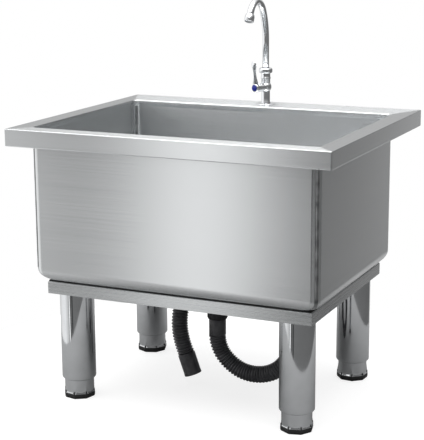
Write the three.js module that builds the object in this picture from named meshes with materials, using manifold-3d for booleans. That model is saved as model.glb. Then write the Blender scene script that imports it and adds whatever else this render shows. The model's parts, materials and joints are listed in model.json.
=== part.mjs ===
// Stainless steel pet bathtub on four adjustable legs, with a swan-neck tap and a drain hose.
// Millimetres, +Z up, front of the tub towards -Y.
// The origin is on the floor, under the middle of the rim.
import * as THREE from 'three';
import { mergeVertices } from 'three/addons/utils/BufferGeometryUtils.js';
import Module from 'manifold-3d';

const wasm = await Module();
wasm.setup();

// ---------------------------------------------------------------- driving dimensions

const GAP = 0.3;
const SHEET = 2;
// How far a cutting tool runs past the face that it cuts.
const PAST = 5;
// Sides of a round piece: wide ones and narrow ones.
const WIDE = 24;
const NARROW = 16;

const RIM = { width: 800, depth: 662, top: 667, apron: 41, hem: 12, lip: 15 };
const OPENING = { left: -355, right: 355, front: -285, back: 231, corner: 16 };
const BASIN = { bottom: 297, edgeRadius: 30, drainRadius: 46 };
const FRAME = { halfWidth: 336, front: -266, back: 218, top: 294, height: 30, flange: 30, sheet: 3 };
const BRACE = { offset: 100, width: 40 };
const BEARING = { inset: 2, width: 24 };

const LEG = { x: 284.5, front: -219, back: 171, radius: 41.3, wall: 2, bottom: 46.6, lipRadius: 36.5 };
// The rolled lower edge of the tube: its knee, and heights above the edge.
const ROLL = { knee: 1.92, kneeHeight: 0.96, shoulder: 5.76, innerShoulder: 6.72, mouth: 4.32 };
const FOOT = { padHeight: 3, plugHeight: 12, sleeveTop: 84, sleeveRadius: 35.5, stemRadius: 8 };
// The plate over each tube, and the socket under it that the tube slips over.
const PLATE = { size: 96, thickness: 4, socketDepth: 14, socketWall: 4, clearance: 0.4 };
// The threaded insert in each tube: its boss, its disc and its top.
const INSERT = { bottom: 104, disc: 120, top: 132, bossRadius: 16 };
const STEM = { bottom: 20.4, top: 170, chamfer: 2, clearance: 0.6 };
const OCTAGON = { pad: 39, padTaper: 1.5, plug: 39.5, sleeve: 38.7, sleeveTop: 36, blendTop: 31 };
// Half the angle of one of eight facets, in degrees.
const HALF_FACET = 22.5;
// The pad's centre spigot and its hole in the plug.
const SPIGOT = { radius: 6, bottom: 1, top: 10, holeRadius: 6.8, holeTop: 11 };
// The round core of the plug inside the sleeve, with its hole for the stem.
const PLUG_CORE = { radius: 33, bottom: 11, top: 40, holeBottom: 20 };
const SLEEVE_WALL = 1.5;
// Sides of the small round bars inside each foot.
const SMALL = 12;
// Turn of each foot about its own axis, in degrees, as the feet happen to be screwed in.
const FOOT_TURN = { front_left: 33, front_right: 14, rear_left: 20, rear_right: 40 };

const DRAIN = { x: 0, y: -27, bodyRadius: 43, bodyBottom: 250, lipRadius: 57 };
const CUP = { outlet: 16, wall: 2.5, floor: 3, lip: 2, dish: 1.6 };
const GASKET_BOTTOM = 293.3;
const LOCKNUT = {
  radius: 58,
  bottom: 281,
  top: 293,
  clearance: 0.5,
  notches: 8,
  notchFrom: 53,
  notchHalf: 5,
};
const TAILPIECE = { radius: 18, bottom: 150, wall: 2, flange: 5, flangeHeight: 5, slope: 1 };
const COUPLING = { radius: 24, bottom: 175, top: 205, clearance: 0.8 };
const GRIP = { ribs: 8, inset: 3, reach: 1.2, halfWidth: 1.5 };
// The strainer cup: sheet of one thickness, rising from a floor past a slope to a rolled lip.
const BASKET = { floor: 262, sheet: 1.5, floorRadius: 30, radius: 38, slope: 8, lipRadius: 39.6, lip: 1.2 };
const PERFORATION = { count: 8, radius: 3.5, reach: 20, sides: 6 };
// The strainer's knob as [radius, height above the strainer's floor].
const KNOB = [[0, 0], [6, 0], [3.5, 3], [3.5, 14], [9, 18], [9, 22], [6, 24], [0, 24]];
const HOSE = { radius: 21, cuffRadius: 22, cuffTop: 174.7, cuffBottom: 134.3, bore: 18.5 };
// The clip holds the hose at one point of its route, counted from 0.
const CLIP = { point: 16, width: 14, clearance: 1, sheet: 2, stalk: 3, footLength: 22 };

const TAP = { y: 281, handleHeight: 45, handleTurn: -22, holeRadius: 12 };
// The spout: heights above the deck, then the radius and angle of its two bends and the last straight.
const SPOUT = {
  radius: 8.6,
  bore: 7.2,
  foot: 82.4,
  riser: 165,
  bend: 165,
  bendAngle: 28,
  crook: 45,
  crookAngle: 124,
  outlet: 20,
};
// The tap's turned parts as [radius, height above the deck].
const FLANGE = [[12, GAP], [25.5, GAP], [25.5, 1.2], [22, 3], [12, 3], [12, GAP]];
const COLUMN = [
  [7, 3.3],
  [11.5, 3.3],
  [11.5, 24],
  [12.6, 29],
  [14, 36],
  [14.3, 45],
  [14, 55],
  [12.4, 63],
  [12, 66],
  [13, 67],
  [13, 69],
  [12, 70],
  [12, 80],
  [10.6, 80.5],
  [10.6, 90],
  [9.3, 90],
  [9.3, 82],
  [7, 82],
  [7, 3.3],
];
const SPOUT_NUT = [
  [11, 81],
  [16, 81],
  [17.5, 83],
  [17.5, 91],
  [15, 94],
  [9.1, 94],
  [9.1, 90.4],
  [11, 90.4],
  [11, 81],
];
const SHANK = { bore: 7, radius: 10, bottom: -57, top: 3 };
const WASHER = { bore: 10.6, radius: 22, thickness: 3 };
const BACKNUT = { flatRadius: 15, bottom: -17 };
// The aerator as [radius, distance past the spout's end].
const AERATOR = [
  [8.95, -13],
  [11.2, -13],
  [12.3, -9],
  [12.3, 4],
  [11.6, 5],
  [9.5, 5],
  [9, 2],
  [6.5, 2],
  [6.5, GAP],
  [8.95, GAP],
  [8.95, -13],
];
// Round parts about the handle's axis: radii, and distances out from the body's axis.
const BOSS = { radius: 10.5, start: 4, end: 24, pocketRadius: 7.9, pocketStart: 9, pocketEnd: 30 };
const CARTRIDGE = { radius: 7.3, start: 9.4, end: 30, splineRadius: 3.4, splineStart: 29, splineEnd: 33.9 };
const BONNET = { bore: 7.9, radius: 11.3, start: 24.3, end: 30.1 };
const HUB = [[0, 30.5], [10.5, 30.5], [11.8, 34], [11.4, 39], [10, 41], [0, 41]];
const HUB_SOCKET = { radius: 4, start: 25, end: 34.3 };
const BUTTON = [[0, 41.3], [8.6, 41.3], [8.2, 43], [5, 43.8], [0, 44]];
// The lever's blade: half widths at its root, waist and end, with where the waist and the end lie.
const BLADE = { root: 9.5, waist: 3.6, waistAt: 40, end: 6.2, endAt: 62, depth: 5, lean: 7, start: 33 };

// Route of the ribbed hose: down from the drain, a U to the right, up behind the front right leg,
// over to the left under the tub and behind the drain, then down to the floor.
const HOSE_ROUTE = [
  [0, -27, 134],
  [0, -27, 126],
  [4, -27, 108],
  [15, -27, 86],
  [36, -27, 65],
  [65, -27, 49],
  [98, -27, 44],
  [131, -26, 49],
  [160, -24, 64],
  [181, -20, 88],
  [193, -14, 118],
  [197, -6, 150],
  [192, 4, 182],
  [178, 15, 212],
  [156, 26, 236],
  [127, 36, 252],
  [94, 43, 260],
  [58, 47, 262],
  [22, 48, 262],
  [-14, 44, 260],
  [-48, 33, 254],
  [-76, 16, 240],
  [-95, -3, 218],
  [-103, -17, 190],
  [-104, -26, 160],
  [-101, -30, 130],
  [-94, -31, 101],
  [-85, -31, 76],
];
const HOSE_END = [-66, -31, 23];

// ---------------------------------------------------------------- finishes

function finish(color, roughness, metalness) {
  return { color, roughness, metalness };
}

const BRUSHED = finish(0xb9bbbc, 0.35, 1.0);
const BRUSHED_DARK = finish(0x9b9d9e, 0.4, 1.0);
const CHROME = finish(0xd9dbdd, 0.08, 1.0);
const ZINC = finish(0xa7aaac, 0.45, 1.0);
const BRASS = finish(0xb99a55, 0.35, 1.0);
const BLACK_RUBBER = finish(0x161616, 0.8, 0.0);
const BLACK_PLASTIC = finish(0x1c1c1d, 0.55, 0.0);
const BLUE_PLASTIC = finish(0x23349c, 0.3, 0.0);

// ---------------------------------------------------------------- solids

function signedVolume(positions, index) {
  let sum = 0;
  const a = new THREE.Vector3();
  const b = new THREE.Vector3();
  const c = new THREE.Vector3();
  for (let i = 0; i < index.length; i += 3) {
    a.fromArray(positions, index[i] * 3);
    b.fromArray(positions, index[i + 1] * 3);
    c.fromArray(positions, index[i + 2] * 3);
    sum += a.dot(b.cross(c));
  }
  return sum / 6;
}

// A geometry reduced to merged positions and whole triangles, with its faces pointing out.
function closed(geometry) {
  const bare = geometry.clone();
  bare.deleteAttribute('normal');
  bare.deleteAttribute('uv');
  const merged = mergeVertices(bare, 1e-4);
  const positions = merged.attributes.position.array;
  const source = merged.index.array;
  const index = [];
  for (let i = 0; i < source.length; i += 3) {
    const [a, b, c] = [source[i], source[i + 1], source[i + 2]];
    if (a !== b && b !== c && c !== a) {
      index.push(a, b, c);
    }
  }
  if (signedVolume(positions, index) < 0) {
    index.reverse();
  }
  const result = new THREE.BufferGeometry();
  result.setAttribute('position', new THREE.BufferAttribute(new Float32Array(positions), 3));
  result.setIndex(index);
  return result;
}

function toSolid(geometry) {
  const shape = closed(geometry);
  return new wasm.Manifold(new wasm.Mesh({
    numProp: 3,
    vertProperties: shape.attributes.position.array,
    triVerts: new Uint32Array(shape.index.array),
  }));
}

function toGeometry(solid) {
  const mesh = solid.getMesh();
  const geometry = new THREE.BufferGeometry();
  geometry.setAttribute('position', new THREE.BufferAttribute(new Float32Array(mesh.vertProperties), 3));
  geometry.setIndex(Array.from(mesh.triVerts));
  return geometry;
}

function cut(base, ...tools) {
  return toGeometry(tools.reduce((solid, tool) => solid.subtract(toSolid(tool)), toSolid(base)));
}

function join(base, ...others) {
  return toGeometry(others.reduce((solid, other) => solid.add(toSolid(other)), toSolid(base)));
}

function common(base, ...others) {
  return toGeometry(others.reduce((solid, other) => solid.intersect(toSolid(other)), toSolid(base)));
}

// A box between two corners.
function block(x0, x1, y0, y1, z0, z1) {
  const box = new THREE.BoxGeometry(x1 - x0, y1 - y0, z1 - z0);
  return box.translate((x0 + x1) / 2, (y0 + y1) / 2, (z0 + z1) / 2);
}

// A closed profile of [radius, height] points turned about the Z axis.
function turned(profile, segments) {
  const points = profile.map(([radius, height]) => new THREE.Vector2(radius, height));
  return closed(new THREE.LatheGeometry(points, segments).rotateX(Math.PI / 2));
}

// A ring: a tube with square ends between two heights.
function ring(inner, outer, z0, z1, segments) {
  return turned([[inner, z0], [outer, z0], [outer, z1], [inner, z1], [inner, z0]], segments);
}

// A solid round bar or frustum between two heights.
function bar(bottomRadius, topRadius, z0, z1, segments, turn = 0) {
  const rod = new THREE.CylinderGeometry(topRadius, bottomRadius, z1 - z0, segments);
  return rod.rotateX(Math.PI / 2).rotateZ(turn).translate(0, 0, (z0 + z1) / 2);
}

// A rounded rectangle as an outline, its radius the same at all four corners.
function roundedOutline(x0, x1, y0, y1, radius) {
  const outline = new THREE.Shape();
  outline.absarc(x1 - radius, y0 + radius, radius, -Math.PI / 2, 0);
  outline.absarc(x1 - radius, y1 - radius, radius, 0, Math.PI / 2);
  outline.absarc(x0 + radius, y1 - radius, radius, Math.PI / 2, Math.PI);
  outline.absarc(x0 + radius, y0 + radius, radius, Math.PI, Math.PI * 1.5);
  outline.closePath();
  return outline;
}

function upright(outline, z0, z1, curveSegments = 4) {
  const prism = new THREE.ExtrudeGeometry(outline, { depth: z1 - z0, bevelEnabled: false, curveSegments });
  return prism.translate(0, 0, z0);
}

// A trough section: straight sides down to two round lower corners, as [across, height].
function troughOutline(low, high, bottom, top, radius) {
  const outline = new THREE.Shape();
  outline.moveTo(low, top);
  outline.lineTo(low, bottom + radius);
  outline.absarc(low + radius, bottom + radius, radius, Math.PI, Math.PI * 1.5);
  outline.absarc(high - radius, bottom + radius, radius, Math.PI * 1.5, Math.PI * 2);
  outline.lineTo(high, top);
  outline.closePath();
  return outline;
}

// A tub-shaped block: upright corners of one radius, lower edges of another.
function tubBlock(x0, x1, y0, y1, bottom, top, corner, edge) {
  const reach = 1000;
  const options = { depth: 2 * reach, bevelEnabled: false, curveSegments: 2 };
  const plan = upright(roundedOutline(x0, x1, y0, y1, corner), bottom, top, 2);
  const alongY = new THREE.ExtrudeGeometry(troughOutline(x0, x1, bottom, top, edge), options);
  alongY.rotateX(Math.PI / 2).translate(0, reach, 0);
  const alongX = new THREE.ExtrudeGeometry(troughOutline(y0, y1, bottom, top, edge), options);
  alongX.rotateX(Math.PI / 2).rotateZ(Math.PI / 2).translate(-reach, 0, 0);
  return common(plan, alongY, alongX);
}

// ---------------------------------------------------------------- assembly helpers

const group = new THREE.Group();

function part(name, geometry, look, parent = group) {
  const mesh = new THREE.Mesh(closed(geometry), new THREE.MeshStandardMaterial(look));
  mesh.geometry.computeVertexNormals();
  mesh.name = name;
  parent.add(mesh);
  return mesh;
}

function place(x, y, z, parent = group) {
  const holder = new THREE.Group();
  holder.position.set(x, y, z);
  parent.add(holder);
  return holder;
}

// ---------------------------------------------------------------- tub

// The bowl: four walls and a floor pressed and welded from one sheet thickness.
function basin() {
  const { left, right, front, back, corner } = OPENING;
  const top = RIM.top - RIM.lip - GAP;
  const floor = BASIN.bottom + SHEET;
  const outside = tubBlock(left - SHEET, right + SHEET, front - SHEET, back + SHEET,
    BASIN.bottom, top, corner + SHEET, BASIN.edgeRadius);
  const inside = tubBlock(left, right, front, back, floor, top + PAST, corner, BASIN.edgeRadius - SHEET);
  const drainHole = bar(BASIN.drainRadius, BASIN.drainRadius, BASIN.bottom - PAST, floor + PAST, WIDE);
  return cut(outside, inside, drainHole.translate(DRAIN.x, DRAIN.y, 0));
}

// The rim: a flat deck with a folded apron and hem outside and a short lip inside.
function rim() {
  const { left, right, front, back, corner } = OPENING;
  const low = RIM.top - RIM.apron;
  const under = RIM.top - SHEET;
  const inset = (amount, z0, z1) => {
    const [x, y] = [RIM.width / 2 - amount, RIM.depth / 2 - amount];
    return block(-x, x, -y, y, z0, z1);
  };
  const hemOpening = inset(RIM.hem, low - PAST, under);
  const shell = cut(inset(0, low, RIM.top), inset(SHEET, low + SHEET, under), hemOpening);
  const lipOutline = roundedOutline(left - SHEET, right + SHEET, front - SHEET, back + SHEET, corner + SHEET);
  const lip = upright(lipOutline, RIM.top - RIM.lip, RIM.top, 2);
  const opening = upright(roundedOutline(left, right, front, back, corner), low - PAST, RIM.top + PAST, 2);
  const tapHole = bar(TAP.holeRadius, TAP.holeRadius, under - PAST, RIM.top + PAST, NARROW);
  return cut(join(shell, lip), opening, tapHole.translate(0, TAP.y, 0));
}

part('tub_basin', basin(), BRUSHED);
part('tub_rim', rim(), BRUSHED);

// ---------------------------------------------------------------- base frame

// A straight-sided plate in plan from [x, y] corners.
function plan(corners, z0, z1) {
  return upright(new THREE.Shape(corners.map(([x, y]) => new THREE.Vector2(x, y))), z0, z1);
}

// Each rail is an angle bar, deck flange on top, mitred at both ends.
function frameRails() {
  const { halfWidth, front, back, top, height, flange, sheet } = FRAME;
  const bottom = top - height;
  const inset = (amount, z0, z1) => {
    const x = halfWidth - amount;
    return block(-x, x, front + amount, back - amount, z0, z1);
  };
  const angleRing = cut(
    inset(0, bottom, top),
    inset(sheet, bottom - PAST, top - sheet),
    inset(flange, bottom - PAST, top + PAST),
  );
  const [outX, inX] = [halfWidth, halfWidth - flange - PAST];
  const [inFront, inBack] = [front + flange + PAST, back - flange - PAST];
  const [outSlit, inSlit] = [outX - GAP, inX - GAP];
  const mitres = {
    frame_front_rail: [[-outSlit, front], [outSlit, front], [inSlit, inFront], [-inSlit, inFront]],
    frame_rear_rail: [[outSlit, back], [-outSlit, back], [-inSlit, inBack], [inSlit, inBack]],
    frame_left_rail: [[-outX, back], [-outX, front], [-inX, inFront], [-inX, inBack]],
    frame_right_rail: [[outX, front], [outX, back], [inX, inBack], [inX, inFront]],
  };
  for (const [name, corners] of Object.entries(mitres)) {
    part(name, common(angleRing, plan(corners, bottom - PAST, top + PAST)), BRUSHED);
  }
}

function frameBraces() {
  const { front, back, top, flange, sheet } = FRAME;
  const [y0, y1] = [front + flange + GAP, back - flange - GAP];
  for (const [side, sign] of [['left', -1], ['right', 1]]) {
    const middle = sign * BRACE.offset;
    const [x0, x1] = [middle - BRACE.width / 2, middle + BRACE.width / 2];
    part(`frame_brace_${side}`, block(x0, x1, y0, y1, top - sheet, top), BRUSHED_DARK);
  }
}

// One closed rubber strip between the frame and the tub.
function bearingStrip() {
  const { halfWidth, front, back, top } = FRAME;
  const { inset, width } = BEARING;
  const [x, y0, y1] = [halfWidth - inset, front + inset, back - inset];
  const [z0, z1] = [top + GAP, BASIN.bottom - GAP];
  const inside = block(-x + width, x - width, y0 + width, y1 - width, z0 - PAST, z1 + PAST);
  return cut(block(-x, x, y0, y1, z0, z1), inside);
}

frameRails();
frameBraces();
part('bearing_strip', bearingStrip(), BLACK_RUBBER);

// ---------------------------------------------------------------- legs and feet

const PLATE_TOP = FRAME.top - FRAME.sheet - GAP;
const PLATE_BOTTOM = PLATE_TOP - PLATE.thickness;

// A corner plate under the frame's flanges, with a round socket that the tube slips over.
function legPlate(signX, signY, legY) {
  const { size, socketDepth, socketWall, clearance } = PLATE;
  const inset = FRAME.sheet + GAP;
  const edgeX = signX * (FRAME.halfWidth - inset - LEG.x);
  const edgeY = (signY < 0 ? FRAME.front + inset : FRAME.back - inset) - legY;
  const [x0, x1] = signX > 0 ? [edgeX - size, edgeX] : [edgeX, edgeX + size];
  const [y0, y1] = signY < 0 ? [edgeY, edgeY + size] : [edgeY - size, edgeY];
  const outer = LEG.radius - LEG.wall - clearance;
  const middle = (PLATE_BOTTOM + PLATE_TOP) / 2;
  const socket = ring(outer - socketWall, outer, PLATE_BOTTOM - socketDepth, middle, WIDE);
  return join(block(x0, x1, y0, y1, PLATE_BOTTOM, PLATE_TOP), socket);
}

// A round tube, its lower edge rolled in to a smaller mouth.
function legTube() {
  const { radius, wall, bottom, lipRadius } = LEG;
  const top = PLATE_BOTTOM - GAP;
  const [kneeRadius, knee, shoulder, innerShoulder, mouth] = [
    radius - ROLL.knee,
    bottom + ROLL.kneeHeight,
    bottom + ROLL.shoulder,
    bottom + ROLL.innerShoulder,
    bottom + ROLL.mouth,
  ];
  return turned([
    [lipRadius, bottom],
    [kneeRadius, knee],
    [radius, shoulder],
    [radius, top],
    [radius - wall, top],
    [radius - wall, innerShoulder],
    [lipRadius, mouth],
    [lipRadius, bottom],
  ], WIDE);
}

// A disc fixed in the tube, its boss threaded for the foot's stem.
function legInsert() {
  const rimRadius = LEG.radius - LEG.wall - PLATE.clearance;
  const bore = FOOT.stemRadius + STEM.clearance;
  return turned([
    [bore, INSERT.bottom],
    [INSERT.bossRadius, INSERT.bottom],
    [INSERT.bossRadius, INSERT.disc],
    [rimRadius, INSERT.disc],
    [rimRadius, INSERT.top],
    [bore, INSERT.top],
    [bore, INSERT.bottom],
  ], NARROW);
}

// An octagonal rubber pad that turns on a centre spigot, so it can stay still on the floor.
function footPad(turn) {
  const pad = bar(OCTAGON.pad - OCTAGON.padTaper, OCTAGON.pad, 0, FOOT.padHeight, 8, turn);
  return join(pad, bar(SPIGOT.radius, SPIGOT.radius, SPIGOT.bottom, SPIGOT.top, SMALL));
}

// The moulded plug: an octagonal base under the sleeve and a round core inside it.
function footPlug(turn) {
  const low = FOOT.padHeight + GAP;
  const base = bar(OCTAGON.plug, OCTAGON.plug, low, FOOT.plugHeight, 8, turn);
  const { radius, bottom, top, holeBottom } = PLUG_CORE;
  const core = bar(radius, radius, bottom, top, NARROW);
  const bore = FOOT.stemRadius + STEM.clearance;
  const spigotHole = bar(SPIGOT.holeRadius, SPIGOT.holeRadius, low - PAST, SPIGOT.holeTop, SMALL);
  const stemHole = bar(bore, bore, holeBottom, top + PAST, SMALL);
  return cut(join(base, core), spigotHole, stemHole);
}

// The bright sleeve: round above, easing to eight flats at the bottom.
function footSleeve(turn) {
  const low = FOOT.plugHeight + GAP;
  const wall = SLEEVE_WALL;
  const radius = FOOT.sleeveRadius;
  const outside = join(
    bar(radius, radius, low, FOOT.sleeveTop, WIDE),
    bar(OCTAGON.sleeve, OCTAGON.sleeveTop, low, OCTAGON.blendTop, 8, turn),
  );
  const inside = join(
    bar(radius - wall, radius - wall, low - 1, FOOT.sleeveTop - wall, WIDE),
    bar(OCTAGON.sleeve - wall, OCTAGON.sleeveTop - wall, low - 1, OCTAGON.blendTop, 8, turn),
  );
  const bore = FOOT.stemRadius + STEM.clearance;
  const stemHole = bar(bore, bore, FOOT.sleeveTop - PAST, FOOT.sleeveTop + PAST, SMALL);
  return cut(outside, inside, stemHole);
}

function footStem() {
  const radius = FOOT.stemRadius;
  const { bottom, top, chamfer } = STEM;
  const [shoulder, tip] = [top - chamfer, radius - chamfer];
  return turned([[0, bottom], [radius, bottom], [radius, shoulder], [tip, top], [0, top]], SMALL);
}

for (const [name, signX, signY] of [
  ['front_left', -1, -1],
  ['front_right', 1, -1],
  ['rear_left', -1, 1],
  ['rear_right', 1, 1],
]) {
  const legY = signY < 0 ? LEG.front : LEG.back;
  const corner = place(signX * LEG.x, legY, 0);
  // Half a facet brings a flat, and not a corner, to the stated angle.
  const turn = THREE.MathUtils.degToRad(FOOT_TURN[name] + HALF_FACET);
  part(`leg_plate_${name}`, legPlate(signX, signY, legY), BRUSHED_DARK, corner);
  part(`leg_tube_${name}`, legTube(), CHROME, corner);
  part(`leg_insert_${name}`, legInsert(), ZINC, corner);
  part(`foot_stem_${name}`, footStem(), ZINC, corner);
  part(`foot_sleeve_${name}`, footSleeve(turn), CHROME, corner);
  part(`foot_plug_${name}`, footPlug(turn), BLACK_PLASTIC, corner);
  part(`foot_pad_${name}`, footPad(turn), BLACK_RUBBER, corner);
}

// ---------------------------------------------------------------- drain

const FLOOR = BASIN.bottom + SHEET;

// The drain cup: a dished lip on the tub floor, a threaded body and a floor with its outlet.
function drainCup() {
  const { bodyRadius, bodyBottom, lipRadius } = DRAIN;
  const { outlet, wall, floor, lip, dish } = CUP;
  return turned([
    [outlet, bodyBottom],
    [bodyRadius, bodyBottom],
    [bodyRadius, FLOOR + GAP],
    [lipRadius, FLOOR + GAP],
    [lipRadius - 1, FLOOR + lip],
    [bodyRadius + lip, FLOOR + dish],
    [bodyRadius - wall, FLOOR - floor],
    [bodyRadius - wall, bodyBottom + floor],
    [outlet, bodyBottom + floor],
    [outlet, bodyBottom],
  ], WIDE);
}

// Copies of a shape set evenly round the Z axis.
function around(count, make) {
  return Array.from({ length: count }, (_, i) => make().rotateZ(i * 2 * Math.PI / count));
}

function hexNut(flatRadius, bore, z0, z1) {
  const corner = flatRadius / Math.cos(Math.PI / 6);
  return cut(bar(corner, corner, z0, z1, 6), bar(bore, bore, z0 - PAST, z1 + PAST, NARROW));
}

// A castle-edged ring nut that clamps the drain cup to the tub floor.
function drainLocknut() {
  const { radius, bottom, top, clearance, notches, notchFrom, notchHalf } = LOCKNUT;
  const notch = () => block(notchFrom, radius + PAST, -notchHalf, notchHalf, bottom - PAST, top + PAST);
  return cut(ring(DRAIN.bodyRadius + clearance, radius, bottom, top, WIDE), ...around(notches, notch));
}

function tailpiece() {
  const { radius, bottom, wall, flange, flangeHeight, slope } = TAILPIECE;
  const top = DRAIN.bodyBottom - GAP;
  return turned([
    [radius - wall, bottom],
    [radius, bottom],
    [radius, top - flangeHeight - slope],
    [radius + flange, top - flangeHeight],
    [radius + flange, top],
    [radius - wall, top],
    [radius - wall, bottom],
  ], NARROW);
}

// The coupling nut, with grip ribs, that pulls the hose cuff up onto the tailpiece.
function couplingNut() {
  const { radius, bottom, top, clearance } = COUPLING;
  const { ribs, inset, reach, halfWidth } = GRIP;
  const rib = () => block(radius - inset, radius + reach, -halfWidth, halfWidth, bottom + inset, top - inset);
  const sleeve = bar(radius, radius, bottom, top, NARROW);
  const boreRadius = TAILPIECE.radius + clearance;
  const bore = bar(boreRadius, boreRadius, bottom - PAST, top + PAST, NARROW);
  return cut(join(sleeve, ...around(ribs, rib)), bore);
}

// A lift-out strainer cup with a rolled lip and holes in its floor.
function strainerBasket() {
  const { floor, sheet, floorRadius, radius, slope, lipRadius, lip } = BASKET;
  const inner = radius - sheet;
  const cup = turned([
    [0, floor],
    [floorRadius, floor],
    [radius, floor + slope],
    [radius, FLOOR - 2],
    [lipRadius, FLOOR - lip],
    [lipRadius, FLOOR],
    [radius - 1, FLOOR],
    [inner, floor + slope + 1],
    [floorRadius - 1, floor + sheet],
    [0, floor + sheet],
  ], WIDE);
  const { count, radius: hole, reach, sides } = PERFORATION;
  const punch = () => bar(hole, hole, floor - PAST, floor + PAST, sides).translate(reach, 0, 0);
  return cut(cup, ...around(count, punch));
}

function strainerKnob() {
  const base = BASKET.floor + BASKET.sheet + GAP;
  return turned(KNOB.map(([radius, height]) => [radius, base + height]), NARROW);
}

const drain = place(DRAIN.x, DRAIN.y, 0);
part('drain_cup', drainCup(), BRUSHED, drain);
const gasketBore = DRAIN.bodyRadius + LOCKNUT.clearance;
const gasket = ring(gasketBore, DRAIN.lipRadius, GASKET_BOTTOM, BASIN.bottom - GAP, WIDE);
part('drain_gasket', gasket, BLACK_RUBBER, drain);
part('drain_locknut', drainLocknut(), ZINC, drain);
part('drain_tailpiece', tailpiece(), BLACK_PLASTIC, drain);
part('hose_coupling_nut', couplingNut(), BLACK_PLASTIC, drain);
part('strainer_basket', strainerBasket(), BRUSHED, drain);
part('strainer_knob', strainerKnob(), CHROME, drain);

// ---------------------------------------------------------------- drain hose

function vector([x, y, z]) {
  return new THREE.Vector3(x, y, z);
}

function circleOutline(radius, bore = 0) {
  const outline = new THREE.Shape().absarc(0, 0, radius, 0, Math.PI * 2);
  if (bore > 0) {
    outline.holes.push(new THREE.Path().absarc(0, 0, bore, 0, Math.PI * 2));
  }
  return outline;
}

// A tube of a given section swept along a curve.
function swept(curve, outline, steps, curveSegments) {
  return new THREE.ExtrudeGeometry(outline, { extrudePath: curve, steps, curveSegments });
}

// The last, smooth part of the hose: a cuff from the end of the ribs to the open end.
function endCuff() {
  const start = vector(HOSE_ROUTE[HOSE_ROUTE.length - 1]);
  const end = vector(HOSE_END);
  const along = end.clone().sub(start).normalize();
  const axis = new THREE.LineCurve3(start.addScaledVector(along, GAP), end);
  return swept(axis, circleOutline(HOSE.cuffRadius, HOSE.bore), 1, 8);
}

// A pipe clip under the right-hand brace that holds the hose where it crosses under the tub.
function hoseClip() {
  const [before, held, after] = HOSE_ROUTE.slice(CLIP.point - 1, CLIP.point + 2).map(vector);
  const along = after.sub(before).normalize();
  const aim = new THREE.Quaternion().setFromUnitVectors(new THREE.Vector3(0, 0, 1), along);
  const { clearance, sheet, stalk: stalkWidth, footLength } = CLIP;
  const half = CLIP.width / 2;
  const inner = HOSE.radius + clearance;
  const band = ring(inner, inner + sheet, -half, half, NARROW).applyQuaternion(aim);
  const top = FRAME.top - FRAME.sheet - GAP - held.z;
  const stalk = block(-half, half, -stalkWidth / 2, stalkWidth / 2, inner + sheet / 2, top);
  const foot = block(-half, half, -stalkWidth / 2, footLength, top - sheet, top);
  return join(band, stalk, foot).translate(held.x, held.y, held.z);
}

const hoseCurve = new THREE.CatmullRomCurve3(HOSE_ROUTE.map(vector), false, 'catmullrom', 0.5);
const upperCuff = ring(HOSE.bore, HOSE.radius, HOSE.cuffBottom, HOSE.cuffTop, NARROW);
part('hose_cuff_upper', upperCuff, BLACK_RUBBER, drain);
part('hose_run', swept(hoseCurve, circleOutline(HOSE.radius), 40, 5), BLACK_RUBBER);
part('hose_cuff_end', endCuff(), BLACK_RUBBER);
part('hose_clip', hoseClip(), ZINC);

// ---------------------------------------------------------------- tap

// A level path in the plane of the spout: straight up, two bends towards the front, straight out.
class SpoutPath extends THREE.Curve {
  constructor() {
    super();
    const easy = THREE.MathUtils.degToRad(SPOUT.bendAngle);
    const tight = THREE.MathUtils.degToRad(SPOUT.crookAngle);
    this.legs = [
      { length: SPOUT.riser - SPOUT.foot, turn: 0 },
      { length: SPOUT.bend * easy, turn: easy },
      { length: SPOUT.crook * tight, turn: tight },
      { length: SPOUT.outlet, turn: 0 },
    ];
    this.total = this.legs.reduce((sum, leg) => sum + leg.length, 0);
  }

  // Position and heading after a distance; the heading is measured from straight up.
  walk(distance) {
    let [reach, height, heading] = [0, SPOUT.foot, 0];
    let left = distance;
    for (const { length, turn } of this.legs) {
      const step = Math.min(left, length);
      const swing = turn * step / length;
      const chord = turn === 0 ? step : 2 * (length / turn) * Math.sin(swing / 2);
      reach += chord * Math.sin(heading + swing / 2);
      height += chord * Math.cos(heading + swing / 2);
      heading += swing;
      left -= step;
    }
    return { reach, height, heading };
  }

  getPoint(t, target = new THREE.Vector3()) {
    const { reach, height } = this.walk(t * this.total);
    return target.set(0, -reach, height);
  }
}

// The valve body: a stem, a round bulb and a collar, with the side boss for the cartridge.
function tapBody() {
  const { radius, start, end, pocketRadius, pocketStart, pocketEnd } = BOSS;
  const boss = sideways(bar(radius, radius, start, end, NARROW));
  const pocket = sideways(bar(pocketRadius, pocketRadius, pocketStart, pocketEnd, NARROW));
  return cut(join(turned(COLUMN, NARROW), boss), pocket);
}

// From a shape about its own Z axis to one about the handle's axis, in the tap's frame.
function sideways(geometry) {
  const turn = THREE.MathUtils.degToRad(TAP.handleTurn);
  return geometry.rotateX(Math.PI / 2).rotateZ(turn).translate(0, 0, TAP.handleHeight);
}

// The valve cartridge with its spline.
function cartridge() {
  const { radius, start, end, splineRadius, splineStart, splineEnd } = CARTRIDGE;
  const spline = bar(splineRadius, splineRadius, splineStart, splineEnd, SMALL);
  return join(bar(radius, radius, start, end, NARROW), spline);
}

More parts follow.
